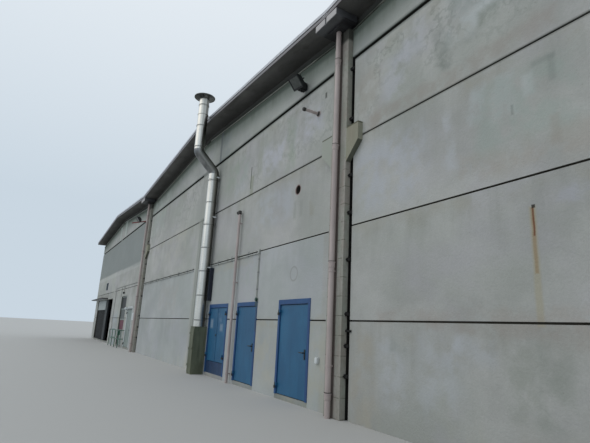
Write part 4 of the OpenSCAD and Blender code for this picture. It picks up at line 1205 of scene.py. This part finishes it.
# %% Frame, boxes and lamps
piece("small_door_white_frame", white_paint, [
    (block, (-12.215, -0.022, 0.1), (-12.185, -0.001, 2.36)),
    (block, (-10.665, -0.022, 0.1), (-10.61, -0.001, 2.36)),
    (block, (-12.215, -0.022, 2.325), (-10.61, -0.001, 2.36))])
piece("white_meter_box", white_paint, [
    (block, (-9.95, -0.13, 1.60), (-9.65, -0.001, 2.00), 0.012),
    (block, (-9.93, -0.138, 1.62), (-9.67, -0.125, 1.98), 0.006)])
piece("far_door_lamp", black_enamel, [
    (block, (-14.04, -0.11, 3.24), (-13.86, -0.001, 3.32), 0.02),
    (turned, (-13.95, -0.06, 3.25), DOWN, [(0.045, 0), (0.045, 0.03), (0.03, 0.05)], 20)])
piece("small_door_lamp", white_paint, [
    (block, (-12.50, -0.13, 2.20), (-12.24, -0.001, 2.34), 0.02),
    (turned, (-12.37, -0.07, 2.21), DOWN, [(0.055, 0), (0.055, 0.02), (0.035, 0.04)], 20)])
tubes = ((-17.0, 0.0, UP, 0.016, 3.70), (-17.0, 3.70, (1, 0, 0), 0.016, 7.6),
         (-14.9, 3.05, UP, 0.013, 0.65), (-13.95, 3.32, UP, 0.013, 0.38))
piece("far_wall_cable_tubes", tube_grey,
      [(turned, (x, -0.02, z), axis, [(r, 0), (r, length)], 12) for x, z, axis, r, length in tubes])

# %% [markdown]
# Louvre, mortar and the rail's box
#
# An air louvre sits above the goods opening: a frame with seven slats before a back plate. The
# joint above it was filled flush with mortar, so a strip of the same concrete closes its groove. A
# box hangs on the guard rail by the small door.

# %% Louvre, mortar and the rail's box
louvre = [(block, (x0, -0.045, z0), (x1, -0.001, z1)) for x0, x1, z0, z1 in (
    (-21.91, -21.29, 4.30, 4.34), (-21.91, -21.29, 3.82, 3.86),
    (-21.91, -21.87, 3.86, 4.30), (-21.33, -21.29, 3.86, 4.30))]
for k in range(7):
    louvre.append((block, (-21.87, -0.030, 3.875 + 0.06 * k), (-21.33, -0.006, 3.905 + 0.06 * k), 0.003))
louvre.append((block, (-21.88, -0.008, 3.85), (-21.32, -0.001, 4.31), 0.002))
piece("far_wall_louvre", louvre_paint, louvre)
piece("far_joint_mortar", upper_concrete, [
    (block, (-26.80, 0.001, 5.28), (-9.24, 0.030, 5.36), 0.001)])
piece("guard_rail_box", rail_green, [
    (block, (-12.42, -0.36, 0.72), (-12.20, -0.24, 0.96), 0.012),
    (block, (-12.40, -0.368, 0.74), (-12.22, -0.356, 0.94), 0.006)])

# %% [markdown]
# Gutter straps
#
# The eaves gutters hang in flat straps, one every metre and a half. A strap goes under the gutter
# and up its front, so it is two thin blocks, and a loop sets them on both sides. From the ground
# they are the only rhythm on the long sides.

# %% Gutter straps
STRAP_PITCH = 1.525
straps = []
for side in (-1, 1):
    for k in range(25):
        y = -0.3 + STRAP_PITCH * k
        for x0, x1, z0, z1 in ((27.25, 27.412, 8.108, 8.122), (27.402, 27.414, 8.11, 8.275)):
            a, b = sorted((side * x0, side * x1))
            straps.append((block, (a, y - 0.015, z0), (b, y + 0.015, z1), 0.003))
piece("gutter_straps", dull_zinc, straps)

# %% [markdown]
# Floor, sky and light
#
# The hall stands on a plain pale floor under an even, cloudy sky. A cloudy sky lights a wall from
# everywhere, so the world itself is the main lamp, a little whiter overhead than at the horizon.
# One wide soft sun from above gives the slight shade under the roof's edge.

# %% Floor
FLOOR = 220
floor_mesh = bpy.data.meshes.new("studio_floor")
corners = [(-FLOOR, -FLOOR, 0), (FLOOR, -FLOOR, 0), (FLOOR, FLOOR, 0), (-FLOOR, FLOOR, 0)]
floor_mesh.from_pydata(corners, [], [(0, 1, 2, 3)])
floor = bpy.data.objects.new("studio_floor", floor_mesh)
bpy.context.scene.collection.objects.link(floor)
floor_mesh.materials.append(finish(new_material("studio floor")[0], linear("#b4b4b2"), DULL))

# %% [markdown]
# Sky and soft sun
#
# The sky has two even tones, one low and one high. The sun is a disc 70 degrees wide, so it casts
# no edge, only a drift of shade.

# %% Sky and soft sun
world = bpy.data.worlds.new("cloudy sky")
bpy.context.scene.world = world
world.use_nodes = True
sky_tree = world.node_tree
sky_tree.nodes.clear()
direction = add(sky_tree, "TexCoord", (), "Generated")
rise = add(sky_tree, "SeparateXYZ", (direction,), "Z")
share = add(sky_tree, "MapRange", {"Value": rise, "From Min": 0.24, "From Max": 0.62})
tones = {0: share, 6: linear("#c9d6e1"), 7: linear("#e2eaf1")}
shade = add(sky_tree, "Mix", tones, 2, data_type="RGBA")
sky = add(sky_tree, "Background", {"Color": shade, "Strength": 1.0})
sky_tree.links.new(sky, sky_tree.nodes.new("ShaderNodeOutputWorld").inputs["Surface"])
sun_data = bpy.data.lights.new("soft_sun", "SUN")
sun_data.energy = 0.6
sun_data.angle = math.radians(70)
sun_data.color = linear("#fff3e4")[:3]
sun = bpy.data.objects.new("soft_sun", sun_data)
sun.rotation_euler = Vector((0.25, 0.75, -0.75)).to_track_quat("-Z", "Y").to_euler()
bpy.context.scene.collection.objects.link(sun)
bpy.context.scene.view_settings.view_transform = "Standard"
print("sun strength", sun_data.energy)
